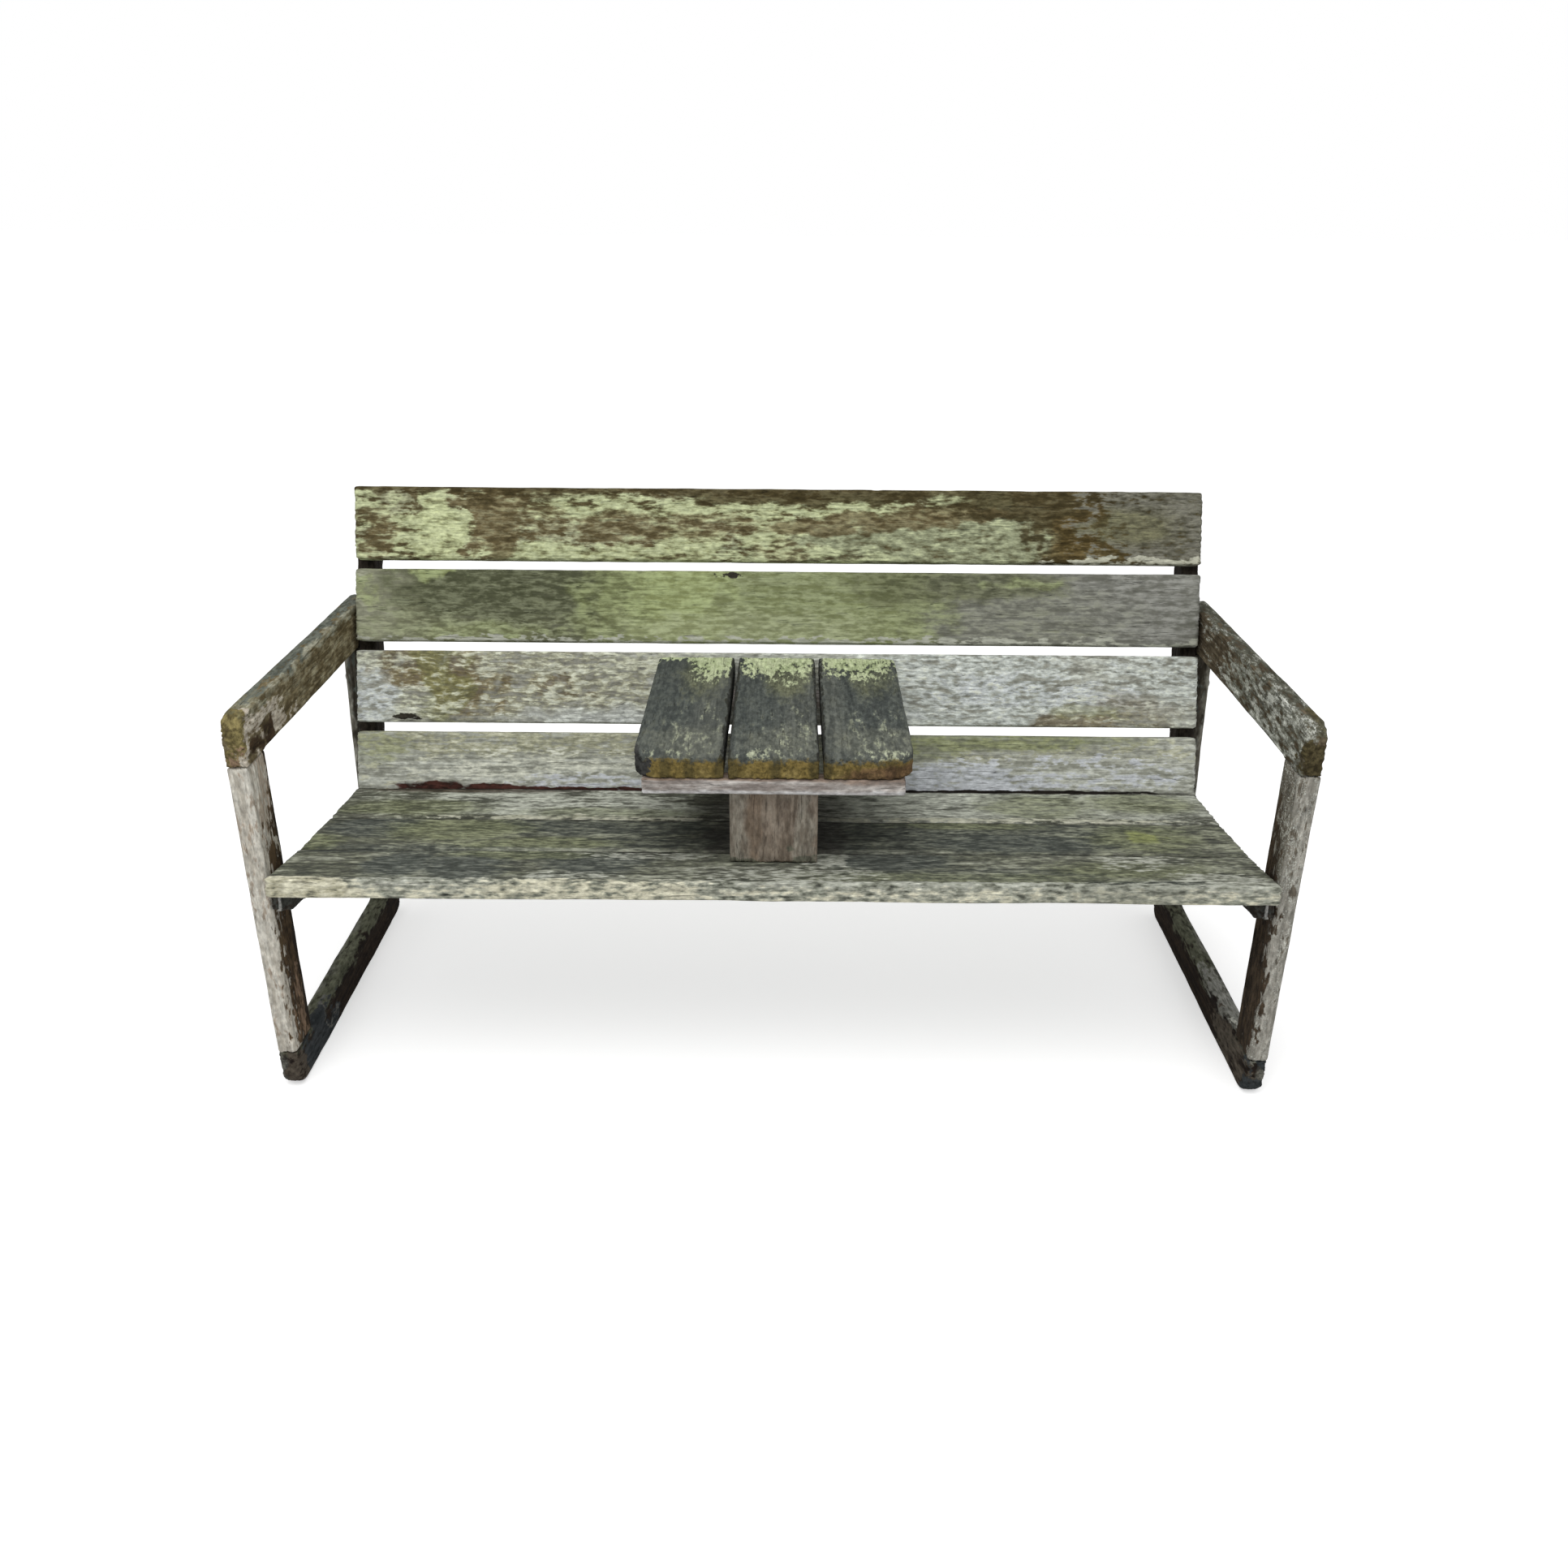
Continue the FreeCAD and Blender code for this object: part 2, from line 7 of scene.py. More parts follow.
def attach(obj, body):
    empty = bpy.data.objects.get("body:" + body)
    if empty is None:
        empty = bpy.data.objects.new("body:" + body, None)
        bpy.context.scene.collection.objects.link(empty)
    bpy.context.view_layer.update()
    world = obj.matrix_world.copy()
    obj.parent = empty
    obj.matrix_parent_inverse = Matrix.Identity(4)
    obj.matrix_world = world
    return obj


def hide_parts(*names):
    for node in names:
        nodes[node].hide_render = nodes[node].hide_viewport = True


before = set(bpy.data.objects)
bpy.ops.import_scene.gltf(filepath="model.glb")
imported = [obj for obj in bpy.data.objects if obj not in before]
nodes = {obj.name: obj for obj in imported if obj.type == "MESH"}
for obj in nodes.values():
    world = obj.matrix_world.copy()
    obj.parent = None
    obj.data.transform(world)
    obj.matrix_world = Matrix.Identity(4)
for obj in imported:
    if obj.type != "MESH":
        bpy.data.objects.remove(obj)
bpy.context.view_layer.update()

# Camera
# Stands in front of the middle of the bench and looks down at it a little, as a person standing does.
bpy.ops.object.select_all(action="DESELECT")
bpy.ops.object.camera_add()
camera = bpy.context.object
camera.data.sensor_width = 36
camera.data.lens = 30.42
eye = (0.0231, -2.2545, 1.4596)
looks_down = 24.44
bearing = Matrix.Rotation(math.radians(0.18), 4, "Z")
dip = Matrix.Rotation(math.radians(90 - looks_down), 4, "X")
roll = Matrix.Rotation(math.radians(0.39), 4, "Z")
camera.matrix_world = Matrix.Translation(eye) @ bearing @ dip @ roll
bpy.context.scene.camera = camera
bpy.context.scene.view_settings.view_transform = "Standard"


# Floor and daylight
# A pale floor under a white sky, as under an even cloud, with one broad soft lamp over the bench.
def put(tree, kind, values=None, **settings):
    """Adds a node, and gives each value to the input of that name or number.

    A value is a plain one, or another node's output.
    """
    made = tree.nodes.new(kind)
    for setting, choice in settings.items():
        setattr(made, setting, choice)
    for key, value in (values or {}).items():
        if isinstance(value, bpy.types.NodeSocket):
            tree.links.new(value, made.inputs[key])
        else:
            made.inputs[key].default_value = value
    return made


def maths(tree, way, *values):
    return put(tree, "ShaderNodeMath", dict(enumerate(values)), operation=way).outputs[0]


def vectors(tree, way, *values):
    return put(tree, "ShaderNodeVectorMath", dict(enumerate(values)), operation=way).outputs[0]


def ramp(tree, value, low, high, bottom=0.0, top=1.0):
    """A soft step from bottom to top while the value goes from low to high."""
    steps = {"Value": value, "From Min": low, "From Max": high, "To Min": bottom, "To Max": top}
    return put(tree, "ShaderNodeMapRange", steps, interpolation_type="SMOOTHSTEP").outputs[0]


def new_material(name):
    material = bpy.data.materials.new(name)
    material.use_nodes = True
    return material, material.node_tree, material.node_tree.nodes["Principled BSDF"]


bpy.ops.mesh.primitive_plane_add(size=80)
floor = bpy.context.object
floor.name = "floor"
paving, tree, shader = new_material("pale_floor")
shader.inputs["Base Color"].default_value = (0.8, 0.8, 0.8, 1)
shader.inputs["Roughness"].default_value = 0.9
shader.inputs["Specular IOR Level"].default_value = 0.1
shader.inputs["Emission Color"].default_value = (1, 1, 1, 1)
seen = put(tree, "ShaderNodeLightPath")
glow_to_camera = 0.52
glow = maths(tree, "MULTIPLY", seen.outputs["Is Camera Ray"], glow_to_camera)
tree.links.new(glow, shader.inputs["Emission Strength"])
floor.data.materials.append(paving)

world = bpy.data.worlds.new("sky")
bpy.context.scene.world = world
world.use_nodes = True
tree = world.node_tree
seen = put(tree, "ShaderNodeLightPath")
direct = maths(tree, "MAXIMUM", seen.outputs["Is Camera Ray"], seen.outputs["Is Glossy Ray"])
light_on_bench = 0.62
strength = put(tree, "ShaderNodeMapRange", {"Value": direct, "To Min": light_on_bench}).outputs[0]
sky = tree.nodes["Background"]
sky.inputs["Color"].default_value = (1, 1, 1, 1)
tree.links.new(strength, sky.inputs["Strength"])

bpy.ops.object.light_add(type="AREA", location=(-0.3, -1.7, 3.4))
lamp = bpy.context.object
lamp.data.shape = "DISK"
lamp.data.size = 2.4
lamp.data.energy = 64
seat_middle = Vector((0, 0, 0.4))
lamp.rotation_euler = (seat_middle - lamp.location).to_track_quat("-Z", "Y").to_euler()


# Side frames
# Two frames of 35 mm softwood planks set on edge: legs tenoned between an armrest and a ground rail, glued
# up and rounded over. Rain has silvered the fronts, and the sheltered inner faces have stayed brown.
AXES = {"X": 0, "Y": 1, "Z": 2}


def drawn_out(along, on_grain, across):
    """Scales for a pattern that is drawn out along the grain."""
    scales = [across, across, across]
    scales[AXES[along]] = on_grain
    return scales


def make_weathering():
    """A modifier that rubs a timber's arrises down, furrows it along the grain and opens fine splits.

    It only moves the surface inwards.
    """
    most_rubbed_off = 0.0025
    tree = bpy.data.node_groups.new("weathering", "GeometryNodeTree")
    tree.interface.new_socket("Geometry", in_out="INPUT", socket_type="NodeSocketGeometry")
    tree.interface.new_socket("Grain", in_out="INPUT", socket_type="NodeSocketVector")
    for name in ("Seed", "Furrow", "Split", "Wear"):
        tree.interface.new_socket(name, in_out="INPUT", socket_type="NodeSocketFloat")
    tree.interface.new_socket("Geometry", in_out="OUTPUT", socket_type="NodeSocketGeometry")
    given = tree.nodes.new("NodeGroupInput").outputs
    place = put(tree, "GeometryNodeInputPosition").outputs[0]
    normal = put(tree, "GeometryNodeInputNormal").outputs[0]
    seed = put(tree, "ShaderNodeCombineXYZ", dict.fromkeys(range(3), given["Seed"])).outputs[0]
    drawn = vectors(tree, "MULTIPLY_ADD", place, given["Grain"], seed)
    ridges = put(tree, "ShaderNodeTexNoise", {"Vector": drawn, "Scale": 1, "Detail": 3, "Roughness": 0.6})
    bands = put(tree, "ShaderNodeTexNoise", {"Vector": drawn, "Scale": 0.3, "Detail": 1}).outputs[0]
    patch = put(tree, "ShaderNodeTexNoise", {"Vector": place, "Scale": 9, "Detail": 2}).outputs[0]
    chips = put(tree, "ShaderNodeTexNoise", {"Vector": drawn, "Scale": 0.6, "Detail": 3}).outputs[0]
    off_line = maths(tree, "ABSOLUTE", maths(tree, "SUBTRACT", bands, 0.5))
    split = maths(tree, "MULTIPLY", ramp(tree, off_line, 0, 0.014, 1, 0), ramp(tree, patch, 0.48, 0.6))
    depth = maths(tree, "MULTIPLY", ramp(tree, ridges.outputs[0], 0.62, 0.36), given["Furrow"])
    depth = maths(tree, "MULTIPLY_ADD", split, given["Split"], depth)
    worn = put(tree, "GeometryNodeBlurAttribute", {"Iterations": 14}, data_type="FLOAT_VECTOR")
    tree.links.new(place, worn.inputs["Value"])
    share = maths(tree, "MULTIPLY", ramp(tree, chips, 0.42, 0.6, 0.12), given["Wear"])
    pull = vectors(tree, "SUBTRACT", worn.outputs["Value"], place)
    length = put(tree, "ShaderNodeVectorMath", {0: pull}, operation="LENGTH").outputs[1]
    length = maths(tree, "MAXIMUM", length, 1e-6)
    limit = maths(tree, "MINIMUM", maths(tree, "DIVIDE", most_rubbed_off, length), 1)
    share = maths(tree, "MULTIPLY", share, limit)
    pull = put(tree, "ShaderNodeVectorMath", {0: pull, "Scale": share}, operation="SCALE").outputs[0]
    depth = maths(tree, "MULTIPLY", depth, -1)
    sink = put(tree, "ShaderNodeVectorMath", {0: normal, "Scale": depth}, operation="SCALE").outputs[0]
    offset = vectors(tree, "ADD", sink, pull)
    moved = put(tree, "GeometryNodeSetPosition", {"Geometry": given["Geometry"], "Offset": offset})
    tree.links.new(moved.outputs[0], put(tree, "NodeGroupOutput").inputs["Geometry"])
    return tree


weathering = make_weathering()


def weather(piece, along, seed, cell=0.0022, stretch=0.3, furrow=0.001, split=0.003, wear=0.7):
    """Gives a timber fine cells, longer along its grain, and then its years outdoors."""
    squash = [1, 1, 1]
    squash[AXES[along]] = stretch
    bpy.ops.object.select_all(action="DESELECT")
    bpy.context.view_layer.objects.active = piece
    piece.select_set(True)
    piece.scale = squash
    bpy.ops.object.transform_apply(location=False, rotation=False, scale=True)
    cells = piece.modifiers.new("cells", "REMESH")
    cells.mode = "VOXEL"
    cells.voxel_size = cell
    bpy.ops.object.modifier_apply(modifier="cells")
    piece.scale = [1 / share for share in squash]
    bpy.ops.object.transform_apply(location=False, rotation=False, scale=True)
    years = piece.modifiers.new("years", "NODES")
    years.node_group = weathering
    grain = drawn_out(along, 7, 170)
    amounts = {"Grain": grain, "Seed": float(seed), "Furrow": furrow, "Split": split, "Wear": wear}
    for socket in weathering.interface.items_tree:
        if socket.name in amounts:
            years[socket.identifier] = amounts[socket.name]
    bpy.ops.object.modifier_apply(modifier="years")
    bpy.ops.object.shade_smooth()


def copy_of(name):
    """A copy of a node's solid, its loose triangles merged."""
    bpy.ops.object.select_all(action="DESELECT")
    nodes[name].select_set(True)
    bpy.context.view_layer.objects.active = nodes[name]
    bpy.ops.object.duplicate()
    piece = bpy.context.object
    piece.name = name + "_timber"
    bpy.ops.object.mode_set(mode="EDIT")
    bpy.ops.mesh.select_all(action="SELECT")
    bpy.ops.mesh.remove_doubles(threshold=0.00001)
    bpy.ops.object.mode_set(mode="OBJECT")
    return piece


class Timber:
    """How one timber looks: bare wood, and over it the coats that years outdoors have laid.

    The wood and each coat have two tones, a light and a dark one, which the grain mixes. Edge and tilt say
    how a board is laid, so that its spots are measured on its face. Wave bends the grain, and drift frays the
    spots.
    """

    def __init__(self, name, along, seed, tones, edge=(0, 0, 0), tilt=0, wave=0.004, drift=0.05):
        self.material, self.tree, self.shader = new_material(name)
        tree = self.tree
        place = put(tree, "ShaderNodeTexCoord").outputs["Object"]
        turned = {"Vector": place, "Location": edge, "Rotation": (math.radians(tilt), 0, 0)}
        self.place = put(tree, "ShaderNodeMapping", turned, vector_type="TEXTURE").outputs[0]
        sway = put(tree, "ShaderNodeTexNoise", {"Vector": self.place, "Scale": 7, "Detail": 3}).outputs[1]
        swayed = vectors(tree, "MULTIPLY_ADD", sway, (wave, wave, wave), self.place)
        self.swayed = vectors(tree, "ADD", swayed, [seed - wave / 2] * 3)
        self.along = along
        stray = put(tree, "ShaderNodeTexNoise", {"Vector": self.place, "Scale": 22, "Detail": 5}).outputs[1]
        reach = drawn_out(along, 5 * drift, drift)
        stray = vectors(tree, "MULTIPLY_ADD", stray, reach, self.place)
        self.strayed = vectors(tree, "ADD", stray, [-share / 2 for share in reach])
        self.ragged = self.noise(18, 60, 5, 0.54)
        self.flecks = self.noise(48, 135, 4, 0.56)
        self.fibre = self.noise(9, 560, 3, 0.65)
        self.crumbs = self.noise(330, 330, 2, 0.6)
        self.patches = self.noise(7, 26, 4, 0.6)
        figure = self.noise(5, 110, 3, 0.6)
        broken = maths(tree, "MULTIPLY_ADD", self.flecks, 0.5, maths(tree, "MULTIPLY", self.fibre, 0.1))
        self.mottle = maths(tree, "MULTIPLY_ADD", self.ragged, 0.4, broken)
        blend = maths(tree, "MULTIPLY_ADD", self.mottle, 0.6, maths(tree, "MULTIPLY", figure, 0.4))
        self.colour = self.tone(tones, blend)
        self.height = maths(tree, "MULTIPLY_ADD", self.fibre, 0.5, blend)

    def noise(self, on_grain, across, detail, rough):
        drawn = vectors(self.tree, "MULTIPLY", self.swayed, drawn_out(self.along, on_grain, across))
        pattern = {"Vector": drawn, "Scale": 1, "Detail": detail, "Roughness": rough}
        return put(self.tree, "ShaderNodeTexNoise", pattern).outputs[0]

    def mix(self, under, over, mask):
        over = over if isinstance(over, bpy.types.NodeSocket) else (*over, 1)
        return put(self.tree, "ShaderNodeMixRGB", {"Fac": mask, "Color1": under, "Color2": over}).outputs[0]

    def tone(self, tones, pattern):
        """Mixes a light and a dark tone by a pattern."""
        light, dark = tones
        return self.mix((*dark, 1), light, ramp(self.tree, pattern, 0.42, 0.58))

    def coat(self, tones, spots=(), level=0.0, soft=0.2, ragged=1.8, flecks=3.2, crumbs=0.0, patches=0.0,
             raised=0.0, thick=1.0):
        """Lays a coat over part of the timber, broken up by ragged grain, flecks, crumbs and broad patches.

        Where those amounts are below zero, it keeps to the places that other coats leave free.

        Level and strength say how much it covers: 0 is nothing, 0.5 half and 1 all. Each spot is a middle,
        a reach along x, y and z to where it has faded out, and the strength that it has as far as half its
        reach. A coat with little or no level fades out beyond its spots.
        """
        tree = self.tree
        fades_below = 0.12
        cover = level
        for middle, reach, strength in spots:
            near = vectors(tree, "MULTIPLY_ADD", self.strayed, [1 / r for r in reach],
                           [-m / r for m, r in zip(middle, reach)])
            fade = put(tree, "ShaderNodeTexGradient", {"Vector": near}, gradient_type="SPHERICAL")
            steps = {"Value": fade.outputs[1], "From Max": 0.5, "To Max": strength}
            full = put(tree, "ShaderNodeMapRange", steps)
            cover = maths(tree, "MAXIMUM", full.outputs[0], cover)
        noises = (self.ragged, self.flecks, self.crumbs, self.patches)
        amounts = (ragged, flecks, crumbs, patches)
        total = maths(tree, "MULTIPLY_ADD", cover, 1.2, -0.6 - sum(amounts) / 2)
        for noise, amount in zip(noises, amounts):
            if amount:
                total = maths(tree, "MULTIPLY_ADD", noise, amount, total)
        mask = ramp(tree, total, -soft, soft)
        if level < fades_below:
            mask = maths(tree, "MULTIPLY", mask, ramp(tree, cover, 0.02, 0.16))
        if thick < 1:
            mask = maths(tree, "MULTIPLY", mask, thick)
        self.colour = self.mix(self.colour, self.tone(tones, self.mottle), mask)
        if raised:
            self.height = maths(tree, "MULTIPLY_ADD", mask, raised, self.height)

    def stain(self, tones, spots=(), level=0.0, thick=0.75):
        """Lays a soft, thin coat that lets the timber show through."""
        self.coat(tones, spots, level, soft=0.5, ragged=0.7, flecks=0.9, thick=thick)

    def finish(self, piece, grit=0.8):
        """Adds grit, fine cracks with dirt in them and the relief, and gives the material to the piece."""
        tree = self.tree
        relief = 0.0012
        specks = self.noise(75, 170, 3, 0.6)
        bright = maths(tree, "MULTIPLY_ADD", specks, 2 * grit, 1 - grit)
        lit = put(tree, "ShaderNodeVectorMath", {0: self.colour, "Scale": bright}, operation="SCALE")
        lines = self.noise(4, 130, 2, 0.5)
        off_line = maths(tree, "ABSOLUTE", maths(tree, "SUBTRACT", lines, 0.5))
        cracks = ramp(tree, off_line, 0, 0.01, 1, 0)
        cracks = maths(tree, "MULTIPLY", cracks, ramp(tree, self.ragged, 0.5, 0.6))
        dirt = (0.02, 0.018, 0.014)
        self.colour = self.mix(lit.outputs[0], dirt, maths(tree, "MULTIPLY", cracks, 0.6))
        self.height = maths(tree, "MULTIPLY_ADD", cracks, -0.8, self.height)
        tree.links.new(self.colour, self.shader.inputs["Base Color"])
        self.shader.inputs["Roughness"].default_value = 0.9
        self.shader.inputs["Specular IOR Level"].default_value = 0.1
        bump = put(tree, "ShaderNodeBump", {"Height": self.height, "Distance": relief}).outputs[0]
        tree.links.new(bump, self.shader.inputs["Normal"])
        piece.data.materials.clear()
        piece.data.materials.append(self.material)


inner_face = 0.826
frame_thickness = 0.035
for side, name in ((-1, "left"), (1, "right")):
    left = side < 0
    inner = inner_face * side
    middle = (inner_face + frame_thickness / 2) * side

    leg = copy_of(name + "_front_leg")
    weather(leg, "Z", 11 + side, stretch=0.45)
    if left:
        silver = (0.66, 0.64, 0.57), (0.42, 0.39, 0.33)
        brown = (0.42, 0.36, 0.29), (0.24, 0.19, 0.14)
        damp_and_painted_shade = (0.1, 0.068, 0.038), (0.035, 0.023, 0.013)
        reddish = (0.22, 0.15, 0.1), (0.13, 0.09, 0.06)
        black = (0.03, 0.022, 0.016), (0.015, 0.011, 0.008)
        wood = Timber("left_front_leg", "Z", 3, silver)
        wood.coat(brown, [((inner, -0.3, 0.52), (0.03, 0.05, 0.3), 0.6)], 0.25)
        wood.coat(damp_and_painted_shade, [
            ((inner, -0.265, 0.42), (0.035, 0.05, 0.26), 0.95),
            ((inner, -0.27, 0.22), (0.03, 0.1, 0.4), 1.2)], 0.06)
        wood.coat(reddish, [((inner, -0.29, 0.12), (0.02, 0.06, 0.1), 0.6)], soft=0.2)
        wood.coat(black, [((inner, -0.27, 0.26), (0.03, 0.03, 0.5), 1.0)])
    else:
        grey = (0.44, 0.42, 0.37), (0.22, 0.21, 0.18)
        brown = (0.21, 0.19, 0.15), (0.09, 0.08, 0.06)
        lichen = (0.66, 0.67, 0.6), (0.45, 0.45, 0.4)
        grime_and_painted_shade = (0.15, 0.13, 0.1), (0.08, 0.07, 0.055)
        damp_and_painted_shade = (0.07, 0.05, 0.032), (0.022, 0.016, 0.011)
        wood = Timber("right_front_leg", "Z", 5, grey)
        wood.coat(brown, [((inner, -0.29, 0.52), (0.03, 0.085, 0.35), 0.85)], 0.2)
        wood.coat(lichen, level=0.36, flecks=1.6, crumbs=2.4, raised=0.6)
        wood.coat(grime_and_painted_shade, level=0.26, flecks=2.4, crumbs=0.8)
        wood.coat(damp_and_painted_shade, [((inner, -0.275, 0.22), (0.03, 0.1, 0.4), 1.3)])
    wood.finish(leg)
    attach(leg, "root")
    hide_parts(name + "_front_leg")

    leg = copy_of(name + "_rear_leg")
    weather(leg, "Z", 21 + side, stretch=0.45)
    brown = (0.1, 0.09, 0.07), (0.035, 0.03, 0.022)
    algae = (0.1, 0.11, 0.095), (0.045, 0.05, 0.045)
    grey = (0.33, 0.32, 0.27), (0.19, 0.18, 0.145)
    wood = Timber(name + "_rear_leg", "Z", 13 + side, brown)
    wood.coat(algae, level=0.35, soft=0.15)
    wood.stain(grey, [((0.875 * side, 0.28, 0.4), (0.03, 0.3, 0.9), 1.1)])
    wood.finish(leg)
    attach(leg, "root")
    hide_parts(name + "_rear_leg")

    rail = copy_of(name + "_ground_rail")
    weather(rail, "Y", 31 + side, stretch=0.45)
    damp_and_painted_shade = (0.035, 0.024, 0.016), (0.014, 0.01, 0.008)
    algae = (0.14, 0.145, 0.1), (0.085, 0.09, 0.06)
    grey = (0.2, 0.2, 0.17), (0.09, 0.09, 0.078)
    wood = Timber(name + "_ground_rail", "Y", 23 + side, damp_and_painted_shade)
    wood.coat(algae, [((middle, 0, 0.1), (0.1, 1.2, 0.05), 1.0)], soft=0.4)
    wood.stain(grey, [((0.885 * side, 0, 0.04), (0.045, 1.5, 0.12), 1.1)])
    if left:
        slate = (0.05, 0.055, 0.058), (0.025, 0.03, 0.032)
        chalky = (0.13, 0.13, 0.12), (0.08, 0.08, 0.07)
        brown = (0.09, 0.075, 0.058), (0.05, 0.04, 0.03)
        wood.coat(slate, [((inner, -0.25, 0.03), (0.025, 0.12, 0.09), 1.2)])
        wood.coat(chalky, [((inner, -0.178, 0.05), (0.02, 0.012, 0.05), 0.75)])
        wood.coat(brown, [((-0.845, -0.36, 0.03), (0.03, 0.05, 0.08), 1.0)])
    else:
        silver = (0.3, 0.3, 0.27), (0.17, 0.17, 0.15)
        lichen = (0.55, 0.56, 0.5), (0.4, 0.4, 0.35)
        brown = (0.1, 0.085, 0.065), (0.05, 0.04, 0.03)
        slate = (0.045, 0.05, 0.052), (0.025, 0.03, 0.032)
        wood.coat(silver, [((0.84, -0.2, 0.09), (0.05, 0.22, 0.045), 0.9)], soft=0.4)
        wood.coat(lichen, [((0.838, -0.235, 0.078), (0.02, 0.03, 0.02), 0.9)])
        wood.coat(brown, [((inner, -0.27, 0.04), (0.02, 0.14, 0.06), 0.8)])
        wood.coat(slate, [((0.852, -0.37, 0.03), (0.045, 0.04, 0.12), 1.2)])
    wood.finish(rail)
    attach(rail, "root")
    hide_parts(name + "_ground_rail")

    arm = copy_of(name + "_armrest")
    weather(arm, "Y", 41 + side, stretch=0.45)
    if left:
        brown = (0.21, 0.17, 0.095), (0.1, 0.078, 0.04)
        straw = (0.38, 0.35, 0.24), (0.2, 0.175, 0.105)
        olive = (0.3, 0.29, 0.2), (0.14, 0.13, 0.085)
        algae = (0.15, 0.16, 0.13), (0.07, 0.078, 0.063)
        worn = (0.4, 0.39, 0.3), (0.22, 0.21, 0.145)
        silver = (0.62, 0.57, 0.48), (0.38, 0.33, 0.26)
        damp_and_painted_shade = (0.07, 0.045, 0.025), (0.03, 0.02, 0.012)
        mustard = (0.24, 0.2, 0.085), (0.09, 0.072, 0.03)
        moss = (0.1, 0.105, 0.07), (0.05, 0.052, 0.035)
        reddish = (0.26, 0.18, 0.115), (0.12, 0.08, 0.05)
        wood = Timber("left_armrest", "Y", 33, brown)
        wood.coat(straw, level=0.33, soft=0.5, ragged=1.6, flecks=1.6, crumbs=0.4)
        wood.coat(olive, [((-0.86, -0.32, 0.73), (0.07, 0.2, 0.06), 1.0)], soft=0.2)
        wood.coat(algae, [((-0.86, 0.06, 0.735), (0.07, 0.58, 0.06), 1.2)], soft=0.2)
        wood.stain(worn, [((-0.824, 0, 0.7), (0.012, 0.9, 0.018), 0.75)])
        wood.coat(silver, [
            ((inner, -0.2, 0.64), (0.02, 0.08, 0.03), 0.8), ((inner, -0.35, 0.66), (0.03, 0.07, 0.12), 0.8),
            ((inner, -0.25, 0.67), (0.02, 0.13, 0.02), 0.7)], soft=0.2, ragged=0.6, flecks=2, crumbs=0.8)
        wood.stain(damp_and_painted_shade, [((inner, -0.262, 0.635), (0.02, 0.06, 0.03), 1.0)], thick=1)
        wood.coat(mustard, [((-0.852, -0.38, 0.67), (0.045, 0.06, 0.14), 1.1)], soft=0.25)
        wood.stain(moss, [((-0.852, -0.4, 0.705), (0.05, 0.05, 0.03), 0.9)])
        wood.coat(reddish, [((-0.84, -0.37, 0.62), (0.035, 0.04, 0.03), 0.7)], soft=0.2)
    else:
        brown = (0.16, 0.13, 0.085), (0.06, 0.046, 0.028)
        grey = (0.28, 0.285, 0.235), (0.1, 0.1, 0.078)
        algae = (0.12, 0.12, 0.09), (0.055, 0.055, 0.04)
        lichen = (0.6, 0.61, 0.55), (0.4, 0.41, 0.36)
        umber = (0.1, 0.082, 0.04), (0.035, 0.028, 0.013)
        mustard = (0.13, 0.11, 0.055), (0.05, 0.042, 0.02)
        wood = Timber("right_armrest", "Y", 37, brown)
        wood.coat(grey, [((inner, -0.26, 0.66), (0.025, 0.4, 0.12), 0.8)], 0.1)
        wood.coat(algae, [((0.86, 0, 0.73), (0.06, 1.2, 0.06), 1.0)], soft=0.25)
        wood.coat(lichen, [
            ((inner, -0.25, 0.65), (0.025, 0.35, 0.1), 0.42), ((0.83, 0, 0.68), (0.05, 0.9, 0.1), 0.22)],
            flecks=1.4, crumbs=1.6, raised=0.7)
        wood.coat(umber, [((0.852, -0.375, 0.65), (0.045, 0.05, 0.14), 1.2)], soft=0.3)
        wood.stain(mustard, [((0.86, -0.38, 0.71), (0.06, 0.09, 0.05), 1.0)])
    wood.finish(arm)
    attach(arm, "root")
    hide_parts(name + "_armrest")


# Seat bearers
# Softwood bearers bolted inside the legs, their tops sawn to the dish of the seat, with a short one in the
# middle. Always in the shade and damp, they are near black.
for name, seed in (("left_seat_bearer", 51), ("right_seat_bearer", 53), ("middle_seat_bearer", 55)):
    bearer = copy_of(name)
    weather(bearer, "Y", seed, stretch=0.45)
    damp_and_painted_shade = (0.07, 0.06, 0.05), (0.025, 0.021, 0.017)
    grime_and_painted_shade = (0.06, 0.062, 0.055), (0.03, 0.031, 0.028)
    wood = Timber(name, "Y", seed, damp_and_painted_shade)
    wood.coat(grime_and_painted_shade, level=0.45, soft=0.15)
    wood.finish(bearer)
    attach(bearer, "root")
    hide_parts(name)


# Seat boards
# Three long softwood boards laid to a shallow dish, screwed from below. Algae and grime have darkened them,
# except along the front edge, where the board dries first and pale lichen grows. The table's shade beside the
# post is painted on the middle and rear boards as a dark stain.
def plank(name, width):
    """A long board with eased arrises, its face up at Z zero and one long edge at Y zero."""
    length = 1.64
    thickness = 0.034
    arris = 0.004
    bpy.ops.object.select_all(action="DESELECT")
    middle = (0, width / 2, -thickness / 2)
    bpy.ops.mesh.primitive_cube_add(size=1, location=middle, scale=(length, width, thickness))
    piece = bpy.context.object
    piece.name = name + "_timber"
    bpy.ops.object.transform_apply(location=True, rotation=True, scale=True)
    bpy.ops.object.mode_set(mode="EDIT")
    bpy.ops.mesh.select_all(action="SELECT")
    bpy.ops.mesh.bevel(offset=arris, segments=3, affect="EDGES")
    bpy.ops.object.mode_set(mode="OBJECT")
    return piece


def lay(piece, edge, tilt):
    """Turns a board up about its edge at Y zero, and puts that edge in its place."""
    bpy.ops.object.select_all(action="DESELECT")
    bpy.context.view_layer.objects.active = piece
    piece.select_set(True)
    piece.rotation_euler = (math.radians(tilt), 0, 0)
    piece.location = edge
    bpy.ops.object.transform_apply(location=True, rotation=True, scale=True)


